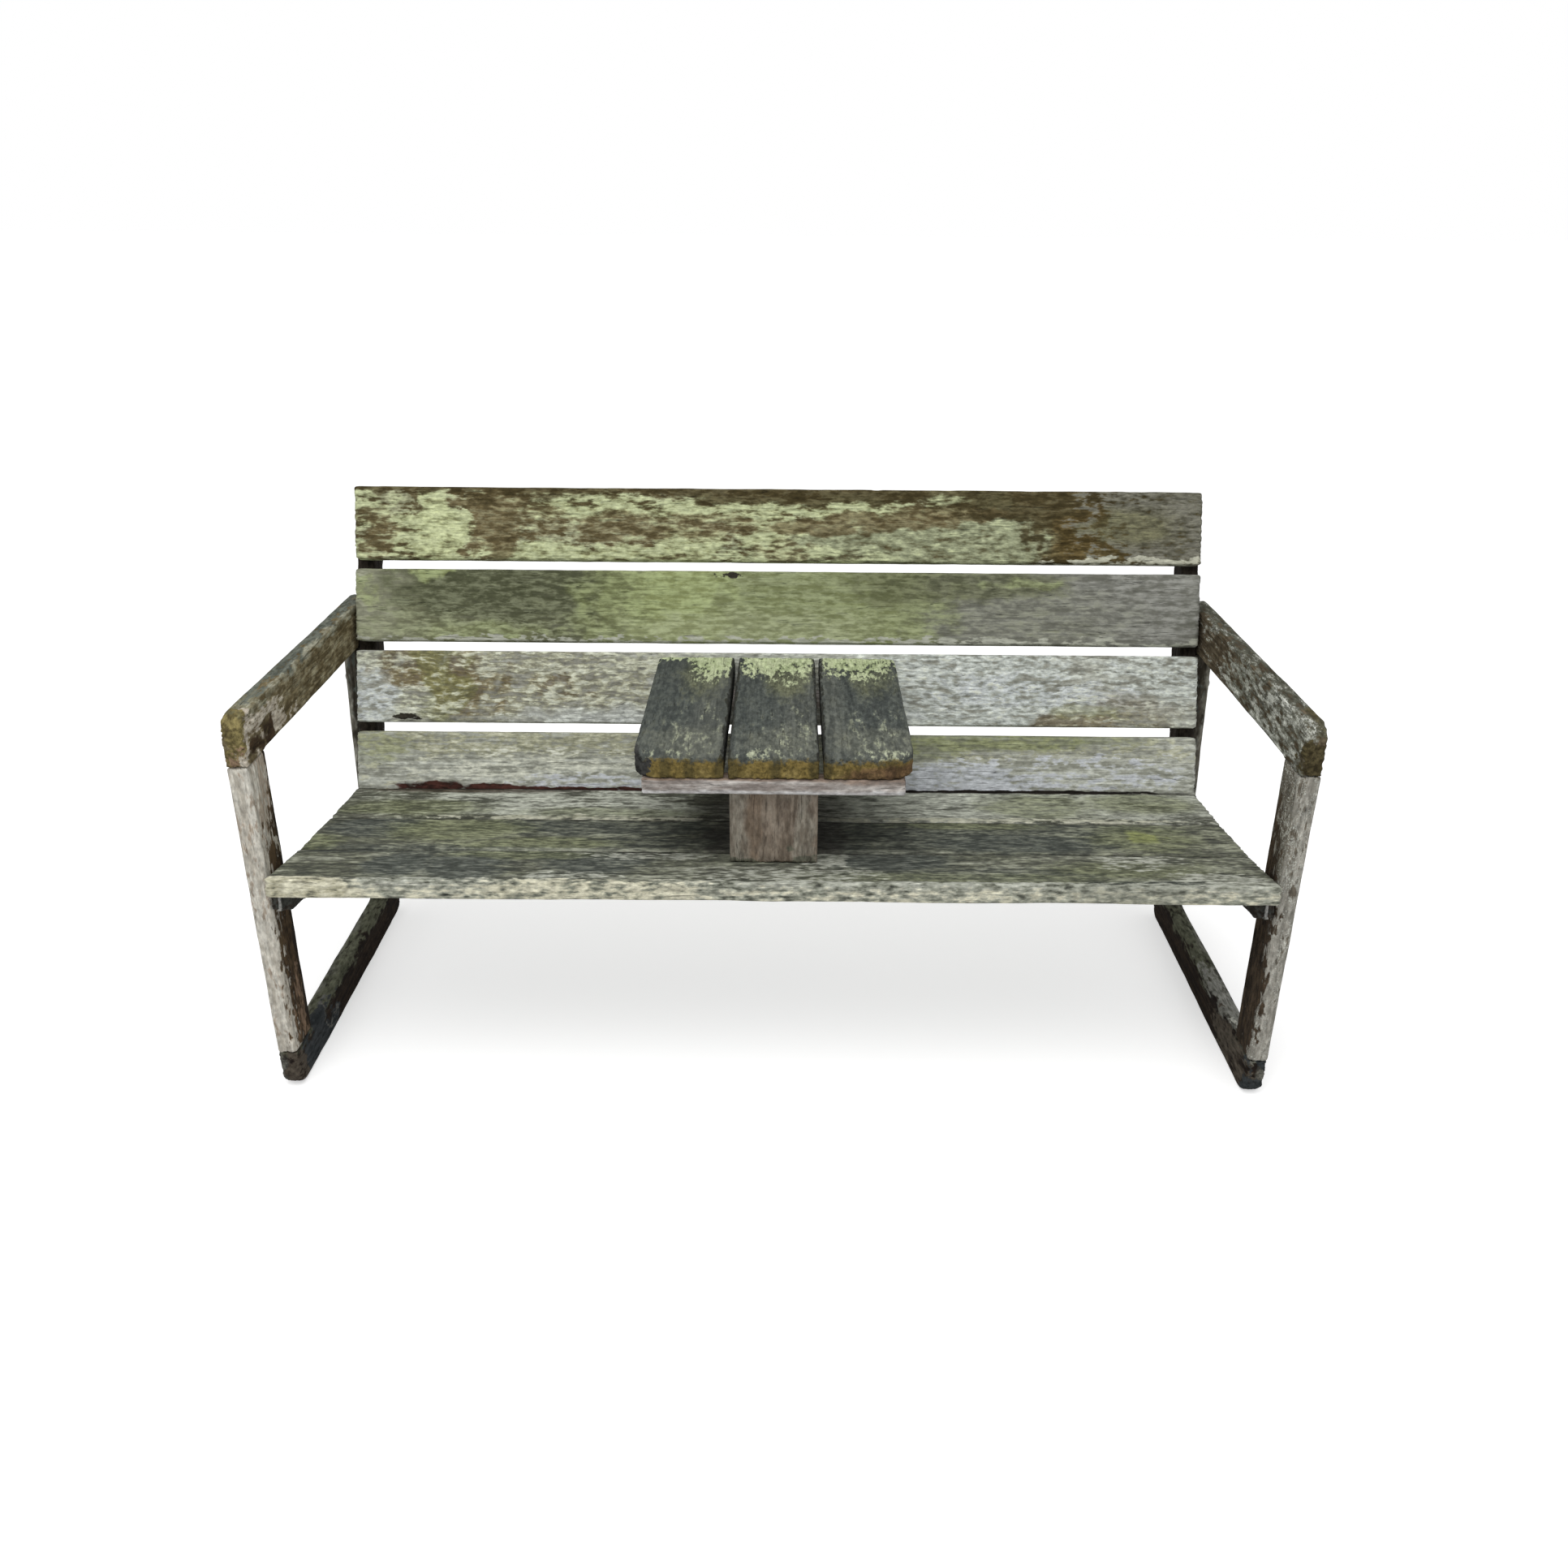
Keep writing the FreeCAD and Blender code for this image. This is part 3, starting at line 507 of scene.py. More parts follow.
def spot(x, y, reach_x, reach_y, strength, z=0, reach_z=0.06):
    """A spot on the face of a board: how far along it, and how far from the edge at Y zero."""
    return (x, y, z), (reach_x, reach_y, reach_z), strength


olive = (0.21, 0.22, 0.155), (0.07, 0.075, 0.052)
yellow = (0.25, 0.27, 0.15), (0.11, 0.12, 0.065)
soot = (0.12, 0.125, 0.1), (0.05, 0.053, 0.04)
slate = (0.11, 0.122, 0.112), (0.042, 0.048, 0.044)

seat_edge = Vector((0, -0.38337, 0.435))
seat_board_width = 0.159
seat_joint = 0.0035
back_edge_bevel = Vector((0, -0.0099, 0))
for name, tilt in (("seat_board_front", -9.4), ("seat_board_middle", -6.4), ("seat_board_rear", -4.7)):
    board = plank(name, seat_board_width)
    slope = Vector((0, math.cos(math.radians(tilt)), math.sin(math.radians(tilt))))
    if name == "seat_board_rear":
        # Its back edge is sawn to follow the slats.
        bpy.ops.object.mode_set(mode="EDIT")
        bpy.ops.mesh.select_all(action="DESELECT")
        bpy.ops.object.mode_set(mode="OBJECT")
        for corner in board.data.vertices:
            corner.select = corner.co.y > 0.1 and corner.co.z < -0.02
        bpy.ops.object.mode_set(mode="EDIT")
        bpy.ops.transform.translate(value=back_edge_bevel)
        bpy.ops.object.mode_set(mode="OBJECT")
    weather(board, "X", 60 - tilt)
    lay(board, seat_edge, tilt)
    grey = (0.27, 0.27, 0.22), (0.1, 0.1, 0.08)
    wood = Timber(name, "X", 5 - tilt, grey, seat_edge, tilt, drift=0.02)
    if name == "seat_board_front":
        pale = (0.34, 0.35, 0.28), (0.2, 0.21, 0.165)
        lichen = (0.44, 0.45, 0.39), (0.24, 0.25, 0.2)
        straw = (0.64, 0.62, 0.48), (0.38, 0.36, 0.25)
        dirt = (0.24, 0.25, 0.2), (0.12, 0.125, 0.1)
        wood.coat(olive, level=0.6, soft=0.3)
        wood.coat(pale, level=0.34, soft=0.4, ragged=1.6, flecks=1.6, patches=3)
        wood.coat(soot, level=0.4, soft=0.5, ragged=-1.2, flecks=-1, patches=-3, thick=0.7)
        wood.coat(slate, [
            spot(-0.62, 0.08, 0.09, 0.09, 0.95), spot(-0.51, 0.07, 0.09, 0.12, 1.0),
            spot(-0.3, 0.1, 0.12, 0.1, 0.85), spot(-0.37, 0.14, 0.09, 0.05, 0.8),
            spot(0.19, 0.12, 0.16, 0.08, 0.95), spot(0.35, 0.05, 0.35, 0.05, 0.55),
            spot(-0.6, 0.155, 0.4, 0.02, 0.7), spot(0.61, 0.014, 0.16, 0.012, 0.85)], 0.2, soft=0.5,
            ragged=-1.2, flecks=-1, thick=0.8)
        wood.stain(yellow, [
            spot(-0.42, 0.14, 0.2, 0.04, 0.6), spot(0.6, 0.08, 0.2, 0.07, 0.6),
            spot(0.3, 0.03, 0.45, 0.04, 0.5)])
        wood.coat(lichen, [
            spot(0, 0, 3, 0.018, 0.85, -0.02, 0.06), spot(0.75, 0.01, 0.2, 0.04, 0.5),
            spot(0.02, 0.04, 0.2, 0.06, 0.5), spot(-0.22, 0.14, 0.14, 0.04, 0.6),
            spot(0.085, 0.13, 0.05, 0.07, 0.75), spot(-0.33, 0.02, 0.1, 0.04, 0.6),
            spot(0.62, 0.12, 0.1, 0.06, 0.5), spot(0.73, 0.03, 0.1, 0.05, 0.7)], soft=0.35)
        wood.coat(straw, [
            spot(-0.78, 0, 0.16, 0.02, 0.9, -0.02, 0.06), spot(-0.3, 0, 0.3, 0.02, 0.6, -0.02, 0.06),
            spot(0, 0, 3, 0.02, 0.4, -0.03, 0.03)], 0.04, soft=0.35)
        wood.stain(dirt, [spot(0.59, 0, 0.13, 0.02, 0.8, -0.02, 0.05)], thick=0.5)
    elif name == "seat_board_middle":
        pale = (0.32, 0.33, 0.25), (0.19, 0.2, 0.145)
        lime = (0.33, 0.36, 0.13), (0.2, 0.22, 0.09)
        lichen = (0.36, 0.37, 0.3), (0.2, 0.21, 0.17)
        grime_and_painted_shade = (0.075, 0.072, 0.065), (0.04, 0.038, 0.033)
        wood.coat(olive, level=0.6, soft=0.3)
        wood.coat(pale, level=0.34, soft=0.4, ragged=1.6, flecks=1.6, patches=3)
        wood.coat(soot, level=0.45, soft=0.5, ragged=-1.2, flecks=-1, patches=-3, thick=0.7)
        wood.coat(slate, [
            spot(-0.3, 0.12, 0.35, 0.08, 0.65), spot(-0.2, 0.04, 0.2, 0.05, 0.6),
            spot(0.12, 0.09, 0.4, 0.14, 0.7), spot(0.42, 0.05, 0.3, 0.07, 0.8),
            spot(0.46, 0.12, 0.4, 0.05, 0.55), spot(-0.72, 0.11, 0.12, 0.08, 0.8),
            spot(-0.55, 0.01, 0.4, 0.02, 0.6)], 0.2, soft=0.5, ragged=-1.2, flecks=-1, thick=0.8)
        wood.stain(yellow, [
            spot(-0.57, 0.1, 0.18, 0.09, 0.7), spot(-0.81, 0.03, 0.07, 0.06, 0.7),
            spot(-0.42, 0.03, 0.22, 0.05, 0.65), spot(0.35, 0.14, 0.2, 0.03, 0.6),
            spot(0.66, 0.08, 0.14, 0.1, 0.6)])
        wood.stain(lime, [spot(0.657, 0.086, 0.036, 0.045, 0.8)])
        wood.stain(lichen, [spot(-0.35, 0.004, 0.3, 0.012, 0.7), spot(0.1, 0.004, 0.3, 0.012, 0.6)])
        # Painted shade: the table above shades this board on both sides of the post, painted here as a dark
        # stain.
        wood.stain(grime_and_painted_shade, [
            spot(-0.06, 0.08, 0.08, 0.16, 1.1), spot(0.06, 0.08, 0.08, 0.16, 1.2),
            spot(0, 0.08, 0.2, 0.14, 0.5)], thick=0.8)
    else:
        lichen = (0.56, 0.58, 0.5), (0.3, 0.31, 0.265)
        worn = (0.5, 0.5, 0.4), (0.3, 0.3, 0.22)
        damp_and_painted_shade = (0.07, 0.045, 0.03), (0.03, 0.02, 0.013)
        grime_and_painted_shade = (0.07, 0.065, 0.058), (0.04, 0.037, 0.033)
        wood.coat(olive, [spot(-0.5, 0.08, 0.6, 0.2, 0.65)], 0.25, soft=0.3)
        wood.coat(lichen, [
            spot(0.0, 0.03, 0.5, 0.08, 0.55), spot(0.33, 0.08, 0.34, 0.3, 1.0),
            spot(-0.42, 0.07, 0.34, 0.16, 0.7), spot(0.62, 0.1, 0.4, 0.2, 0.75)], 0.25, soft=0.4,
            ragged=1.8, flecks=1.8, patches=1.6)
        wood.coat(soot, [
            spot(-0.72, 0.09, 0.3, 0.2, 0.6), spot(0.72, 0.03, 0.2, 0.08, 0.6)], 0.3, soft=0.5, ragged=-1.2,
            flecks=-1, patches=-2, thick=0.7)
        wood.stain(yellow, [
            spot(-0.68, 0.05, 0.22, 0.06, 0.65), spot(0.5, 0.08, 0.16, 0.1, 0.7),
            spot(0.7, 0.1, 0.16, 0.08, 0.75), spot(-0.3, 0.03, 0.25, 0.04, 0.6)])
        wood.coat(worn, [
            spot(-0.35, 0.006, 0.4, 0.012, 0.7), spot(-0.36, 0.012, 0.02, 0.02, 0.9),
            spot(0.35, 0.008, 0.7, 0.012, 0.6)], soft=0.2)
        wood.stain(damp_and_painted_shade, [spot(-0.58, 0.155, 0.3, 0.03, 0.9), spot(0, 0.16, 2, 0.014, 0.8)])
        # Painted shade: the shade under the table, in the middle of the board, painted as a dark stain.
        wood.stain(grime_and_painted_shade, [spot(0, 0.05, 0.2, 0.14, 0.7)])
    black = (0.035, 0.034, 0.028), (0.015, 0.015, 0.012)
    wood.stain(black, [spot(0, 0.16, 3, 0.011, 1.2)], thick=0.9)
    wood.finish(board, 0.9)
    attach(board, "root")
    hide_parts(name)
    seat_end = seat_edge + slope * seat_board_width
    seat_edge = seat_edge + slope * (seat_board_width + seat_joint)


# Back uprights
# Two leaning posts behind the slat ends, bolted to the armrests and rear legs, round at the top. They are
# seen in the gaps at the ends of the slats, in the slats' shade: their brown wood is painted almost black as
# painted shade.
for name, seed in (("left_back_upright", 71), ("right_back_upright", 73)):
    upright = copy_of(name)
    weather(upright, "Z", seed, stretch=0.45)
    # Painted shade: the near-black tone stands for brown wood in the shade behind the slats.
    damp_and_painted_shade = (0.04, 0.032, 0.025), (0.016, 0.013, 0.01)
    grey = (0.2, 0.2, 0.17), (0.1, 0.1, 0.085)
    wood = Timber(name, "Z", seed, damp_and_painted_shade)
    wood.coat(grey, [((0, 0.42, 0.8), (3, 0.1, 0.5), 0.5)], soft=0.5, ragged=1, flecks=1)
    wood.finish(upright)
    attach(upright, "root")
    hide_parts(name)


# Back slats
# Four long softwood boards, screwed from behind. The top one catches the most rain and carries the thickest
# lichen over brown wood, the next is green with algae, and the lower two are silvered.
slat_width = 0.1405
slat_gap = 0.0173
slat_drop = 0.032
seat_to_slat_gap = 0.003
recline = 20.9
lean = 90 - recline
rise = Vector((0, math.cos(math.radians(lean)), math.sin(math.radians(lean))))
back_foot = seat_end + Vector((0, seat_to_slat_gap, 0))
for index, name in enumerate(("back_slat_bottom", "back_slat_lower", "back_slat_upper", "back_slat_top")):
    slat = plank(name, slat_width)
    slat_edge = back_foot + rise * (index * (slat_width + slat_gap) - slat_drop)
    weather(slat, "X", 80 + index)
    lay(slat, slat_edge, lean)
    if name == "back_slat_top":
        brown = (0.24, 0.21, 0.115), (0.06, 0.049, 0.021)
        crust = (0.4, 0.41, 0.265), (0.14, 0.135, 0.075)
        algae = (0.35, 0.375, 0.24), (0.17, 0.18, 0.105)
        lichen = (0.52, 0.56, 0.335), (0.29, 0.31, 0.16)
        bright = (0.64, 0.69, 0.4), (0.42, 0.46, 0.25)
        umber = (0.19, 0.15, 0.075), (0.1, 0.078, 0.037)
        damp_and_painted_shade = (0.09, 0.068, 0.03), (0.045, 0.035, 0.014)
        amber = (0.17, 0.12, 0.045), (0.06, 0.042, 0.014)
        grey = (0.2, 0.195, 0.155), (0.09, 0.086, 0.06)
        mustard = (0.19, 0.185, 0.09), (0.1, 0.095, 0.05)
        worn = (0.5, 0.5, 0.4), (0.3, 0.3, 0.22)
        wood = Timber(name, "X", 8.1, brown, slat_edge, lean, drift=0.035)
        wood.coat(crust, [
            spot(-0.78, 0.11, 0.1, 0.05, 0.8), spot(-0.81, 0.03, 0.05, 0.06, 0.7),
            spot(-0.4, 0.06, 0.26, 0.14, 0.66), spot(-0.12, 0.065, 0.26, 0.12, 0.7),
            spot(0.1, 0.1, 0.3, 0.06, 0.6), spot(-0.54, 0.06, 0.1, 0.14, 0.45)], 0.36, soft=0.15)
        wood.coat(algae, [
            spot(0.24, 0.02, 0.46, 0.08, 0.95), spot(0.42, 0.05, 0.2, 0.08, 0.9),
            spot(0.04, 0.03, 0.2, 0.06, 0.6), spot(0.22, 0.115, 0.3, 0.04, 0.55)], 0.1, soft=0.25,
            ragged=2.4, flecks=2)
        wood.coat(lichen, [
            spot(-0.663, 0.115, 0.045, 0.045, 1.0), spot(-0.663, 0.075, 0.075, 0.05, 1.05),
            spot(-0.655, 0.02, 0.08, 0.075, 1.0), spot(-0.72, 0.045, 0.07, 0.06, 0.66),
            spot(-0.46, 0.008, 0.17, 0.038, 0.95), spot(-0.25, 0.006, 0.24, 0.036, 0.95),
            spot(-0.17, 0.03, 0.09, 0.06, 0.85), spot(-0.37, 0.105, 0.2, 0.04, 0.75),
            spot(-0.12, 0.1, 0.24, 0.036, 0.72), spot(-0.02, 0.06, 0.08, 0.08, 0.72),
            spot(0.12, 0.105, 0.24, 0.03, 0.68), spot(0.37, 0.12, 0.1, 0.04, 0.75),
            spot(-0.81, 0.01, 0.05, 0.05, 0.7), spot(0.04, 0.01, 0.24, 0.03, 0.6),
            spot(-0.8, 0.1, 0.08, 0.06, 0.6)], 0.13, soft=0.35, ragged=2.6, flecks=2.2, raised=0.5)
        wood.stain(bright, [
            spot(-0.665, 0.085, 0.05, 0.05, 0.9), spot(-0.65, 0.03, 0.05, 0.06, 0.8)], thick=0.6)
        wood.coat(umber, [
            spot(0.08, 0.066, 0.16, 0.024, 0.9), spot(0.2, 0.08, 0.18, 0.024, 0.95),
            spot(0.33, 0.094, 0.18, 0.024, 0.9), spot(-0.29, 0.062, 0.16, 0.05, 0.72),
            spot(-0.77, 0.05, 0.05, 0.08, 0.66), spot(-0.55, 0.08, 0.07, 0.14, 0.85),
            spot(-0.46, 0.075, 0.12, 0.05, 0.6), spot(-0.14, 0.07, 0.14, 0.04, 0.7),
            spot(0.02, 0.02, 0.08, 0.04, 0.55)], 0.26, soft=0.35, ragged=-1.6, flecks=-1.4, thick=0.8)
        wood.coat(damp_and_painted_shade, [
            spot(-0.5, 0.137, 0.25, 0.03, 0.8), spot(0.04, 0.135, 0.4, 0.034, 1.1),
            spot(0.54, 0.12, 0.3, 0.06, 1.0), spot(0.55, 0.06, 0.08, 0.1, 0.85),
            spot(0.1, 0.141, 2, 0.016, 1.1)], 0.14, soft=0.35, ragged=-1.6, flecks=-1.4, thick=0.9)
        wood.stain(amber, [spot(0.62, 0.045, 0.12, 0.09, 0.9)])
        wood.coat(grey, [spot(0.8, 0.07, 0.22, 0.4, 0.9), spot(0.66, 0.08, 0.12, 0.12, 0.5)], soft=0.25)
        wood.stain(mustard, [spot(0.69, 0.07, 0.12, 0.05, 0.65)])
        wood.coat(worn, [spot(0.68, 0.004, 0.25, 0.012, 0.7)])
        grit = 0.8
    elif name == "back_slat_upper":
        grey = (0.27, 0.275, 0.245), (0.125, 0.127, 0.1)
        silver = (0.33, 0.33, 0.3), (0.175, 0.175, 0.155)
        straw = (0.44, 0.45, 0.32), (0.25, 0.255, 0.175)
        moss = (0.235, 0.25, 0.14), (0.085, 0.09, 0.042)
        dark_moss = (0.16, 0.17, 0.1), (0.065, 0.07, 0.035)
        sage = (0.3, 0.32, 0.205), (0.2, 0.21, 0.13)
        shade = (0.13, 0.14, 0.085), (0.06, 0.065, 0.036)
        algae = (0.33, 0.375, 0.18), (0.19, 0.215, 0.085)
        grime_and_painted_shade = (0.17, 0.18, 0.1), (0.075, 0.08, 0.04)
        lime = (0.39, 0.45, 0.22), (0.24, 0.27, 0.11)
        pale_green = (0.4, 0.43, 0.27), (0.26, 0.28, 0.16)
        black = (0.045, 0.04, 0.03), (0.02, 0.018, 0.015)
        worn = (0.42, 0.43, 0.36), (0.3, 0.31, 0.25)
        wood = Timber(name, "X", 9.3, grey, slat_edge, lean)
        wood.stain(silver, [spot(0.6, 0.05, 0.4, 0.3, 0.7)])
        wood.stain(straw, [spot(-0.82, 0.08, 0.22, 0.3, 0.95), spot(-0.68, 0.01, 0.34, 0.05, 1.0)])
        wood.stain(moss, [spot(-0.52, 0.08, 0.34, 0.25, 0.95), spot(0.4, 0.05, 0.4, 0.12, 0.4)])
        wood.coat(dark_moss, [
            spot(-0.5, 0.08, 0.36, 0.12, 0.62), spot(-0.52, 0.11, 0.3, 0.07, 0.85)], soft=0.3, ragged=3,
            flecks=2)
        wood.coat(sage, [spot(-0.5, 0.04, 0.4, 0.12, 0.42)], soft=0.3, ragged=1, flecks=3, thick=0.7)
        wood.stain(shade, [spot(-0.5, 0.115, 0.34, 0.09, 1.1)], thick=0.55)
        wood.stain(algae, [spot(0.0, 0.06, 0.4, 0.4, 1.1), spot(-0.24, 0.06, 0.2, 0.3, 0.7)])
        wood.stain(grime_and_painted_shade, [spot(0.34, 0.125, 0.28, 0.055, 1.0), spot(0.22, 0.12, 0.1, 0.07, 0.8)])
        wood.stain(lime, [
            spot(-0.19, 0.06, 0.13, 0.4, 0.8), spot(-0.8, 0.1, 0.04, 0.05, 0.6),
            spot(-0.665, 0.138, 0.06, 0.018, 0.8), spot(-0.57, 0.018, 0.16, 0.03, 0.5),
            spot(0.46, 0.122, 0.1, 0.016, 0.5)])
        wood.stain(pale_green, [
            spot(-0.05, 0.02, 0.36, 0.06, 0.8), spot(-0.72, 0.02, 0.2, 0.05, 0.5)], thick=0.6)
        wood.coat(black, [spot(-0.09, 0.139, 0.035, 0.012, 0.9)])
        wood.coat(worn, [spot(0, 0.003, 2, 0.014, 0.6)], soft=0.15)
        grit = 0.35
    elif name == "back_slat_lower":
        silver = (0.54, 0.56, 0.5), (0.25, 0.25, 0.21)
        umber = (0.4, 0.4, 0.28), (0.13, 0.12, 0.065)
        pale = (0.66, 0.7, 0.66), (0.32, 0.345, 0.31)
        blue_grey = (0.62, 0.655, 0.66), (0.4, 0.43, 0.44)
        amber = (0.2, 0.14, 0.05), (0.09, 0.06, 0.02)
        lime = (0.29, 0.3, 0.11), (0.16, 0.165, 0.06)
        lichen = (0.66, 0.68, 0.54), (0.44, 0.45, 0.33)
        chalky = (0.6, 0.63, 0.61), (0.42, 0.44, 0.42)
        black = (0.04, 0.035, 0.025), (0.02, 0.018, 0.014)
        wood = Timber(name, "X", 6.7, silver, slat_edge, lean, wave=0.02)
        wood.coat(umber, [
            spot(-0.5, 0.08, 0.5, 0.14, 0.6), spot(0.66, 0.05, 0.3, 0.1, 0.4)], 0.22, soft=0.35)
        wood.coat(pale, [
            spot(0.38, 0.08, 0.3, 0.2, 0.7), spot(0.75, 0.1, 0.15, 0.1, 0.6),
            spot(-0.79, 0.05, 0.08, 0.1, 0.6)], soft=0.35)
        wood.coat(blue_grey, [
            spot(0.46, 0.07, 0.25, 0.05, 0.5), spot(0.6, 0.06, 0.16, 0.04, 0.55),
            spot(-0.8, 0.06, 0.06, 0.08, 0.5), spot(-0.15, 0.01, 0.5, 0.03, 0.45)], 0.12, soft=0.35,
            ragged=3)
        wood.stain(amber, [
            spot(-0.71, 0.105, 0.08, 0.06, 1.0), spot(-0.6, 0.08, 0.08, 0.09, 0.95),
            spot(0.57, 0.0, 0.13, 0.03, 1.1), spot(0.7, 0.03, 0.13, 0.05, 0.5),
            spot(-0.42, 0.085, 0.05, 0.03, 0.8), spot(-0.41, 0.055, 0.06, 0.02, 0.8),
            spot(-0.4, 0.08, 0.5, 0.12, 0.35)], thick=0.7)
        wood.stain(lime, [
            spot(-0.66, 0.12, 0.08, 0.05, 0.9), spot(-0.645, 0.05, 0.05, 0.09, 0.9),
            spot(0.6, 0.03, 0.1, 0.02, 0.7)], thick=0.5)
        wood.coat(lichen, [
            spot(-0.4, 0.12, 0.4, 0.05, 0.44), spot(-0.69, 0.03, 0.09, 0.05, 0.5),
            spot(-0.78, 0.125, 0.1, 0.03, 0.5), spot(-0.34, 0.05, 0.3, 0.08, 0.42),
            spot(-0.31, 0.12, 0.08, 0.06, 0.62)], 0.16, soft=0.35, raised=0.5, thick=0.75)
        wood.stain(chalky, [
            spot(-0.3, 0.012, 0.34, 0.03, 0.8), spot(-0.15, 0.09, 0.12, 0.05, 0.6)], thick=0.6)
        wood.coat(black, [spot(-0.71, 0.012, 0.04, 0.008, 1.0)])
        grit = 0.9
    else:
        silver = (0.62, 0.64, 0.57), (0.27, 0.275, 0.23)
        umber = (0.48, 0.48, 0.35), (0.19, 0.19, 0.12)
        pale = (0.66, 0.67, 0.57), (0.44, 0.45, 0.36)
        blue_grey = (0.57, 0.595, 0.62), (0.41, 0.43, 0.45)
        moss = (0.26, 0.29, 0.13), (0.15, 0.165, 0.075)
        red_brown = (0.075, 0.03, 0.023), (0.028, 0.013, 0.01)
        black = (0.02, 0.016, 0.013), (0.01, 0.008, 0.007)
        wood = Timber(name, "X", 4.9, silver, slat_edge, lean, drift=0.015)
        wood.coat(umber, [
            spot(-0.45, 0.125, 0.6, 0.06, 0.65), spot(0.5, 0.11, 0.5, 0.06, 0.5)], 0.2, soft=0.25, ragged=3)
        wood.coat(pale, [spot(-0.42, 0.07, 0.4, 0.05, 0.5)], 0.1, soft=0.3)
        wood.coat(blue_grey, [
            spot(0.34, 0.05, 0.25, 0.05, 0.9), spot(0.6, 0.07, 0.3, 0.05, 0.4),
            spot(-0.3, 0.04, 0.3, 0.03, 0.5)], soft=0.3, ragged=3)
        wood.stain(moss, [
            spot(0.4, 0.132, 0.4, 0.03, 0.8), spot(0.3, 0.12, 0.1, 0.04, 0.7),
            spot(-0.78, 0.11, 0.1, 0.05, 0.5), spot(0.1, 0.1, 0.2, 0.06, 0.4)])
        wood.coat(red_brown, [
            spot(-0.67, 0.034, 0.1, 0.014, 0.9, 0, 0.02), spot(-0.57, 0.032, 0.14, 0.011, 0.8, 0, 0.02),
            spot(-0.35, 0.03, 0.5, 0.005, 0.9, 0, 0.02)], soft=0.3, ragged=1, flecks=1.6)
        # Painted shadow: a thin black line along the foot of the slat, where the gap to the seat lies in
        # shade.
        wood.stain(black, [spot(0.4, 0.03, 0.5, 0.005, 1.2, 0, 0.02)], thick=1)
        grit = 0.7
    wood.finish(slat, grit)
    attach(slat, "root")
    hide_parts(name)


# Table posts
# Two short softwood boards standing on the seat, one behind the other, screwed from below. The front one
# shows: pinkish brown wood that the table shelters, with a knot near the top and a green foot.
face = -0.28
for name in ("table_post_front", "table_post_rear"):
    post = copy_of(name)
    weather(post, "Z", 91, stretch=0.45, furrow=0.0006)
    pink_brown = (0.29, 0.24, 0.19), (0.15, 0.12, 0.092)
    grey = (0.32, 0.3, 0.25), (0.2, 0.18, 0.145)
    brown = (0.19, 0.13, 0.085), (0.12, 0.085, 0.055)
    silver = (0.36, 0.36, 0.33), (0.24, 0.235, 0.21)
    knot = (0.1, 0.085, 0.065), (0.05, 0.042, 0.033)
    algae = (0.13, 0.14, 0.1), (0.06, 0.065, 0.05)
    wood = Timber(name, "Z", 2.6, pink_brown, wave=0.008)
    wood.stain(grey, [
        ((0.05, face, 0.46), (0.03, 0.1, 0.14), 0.8), ((-0.06, face, 0.46), (0.025, 0.1, 0.2), 0.8)], 0.2)
    wood.stain(brown, [((-0.03, face, 0.52), (0.02, 0.1, 0.12), 0.7)], thick=0.6)
    wood.stain(silver, [((0.02, face, 0.583), (0.03, 0.1, 0.012), 0.9)])
    wood.stain(knot, [((0.0, face, 0.575), (0.04, 0.1, 0.012), 0.8)])
    wood.stain(algae, [((0, face, 0.41), (0.3, 0.1, 0.025), 0.9)])
    wood.finish(post, 0.7)
    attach(post, "root")
    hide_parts(name)


# Table cleats
# A square softwood strip across the top of each post, screwed to it. The table boards lie on both strips.
# Their wood has weathered to a pinkish grey.
face = -0.31
for name in ("table_cleat_front", "table_cleat_rear"):
    cleat = copy_of(name)
    weather(cleat, "X", 93, furrow=0.0006, cell=0.0018)
    pink_grey = (0.5, 0.47, 0.44), (0.24, 0.21, 0.19)
    brown = (0.22, 0.14, 0.09), (0.1, 0.065, 0.042)
    silver = (0.62, 0.62, 0.62), (0.42, 0.41, 0.41)
    wood = Timber(name, "X", 3.2, pink_grey, drift=0.008)
    # The brown strip along the top is partly brown wood and partly painted shadow under the table boards.
    wood.stain(brown, [
        ((0.16, face, 0.592), (0.16, 0.1, 0.022), 0.9), ((0, face, 0.59), (3, 0.1, 0.011), 1.0)])
    wood.stain(silver, [((0, face, 0.557), (3, 0.1, 0.01), 0.8)])
    wood.finish(cleat)
    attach(cleat, "root")
    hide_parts(name)


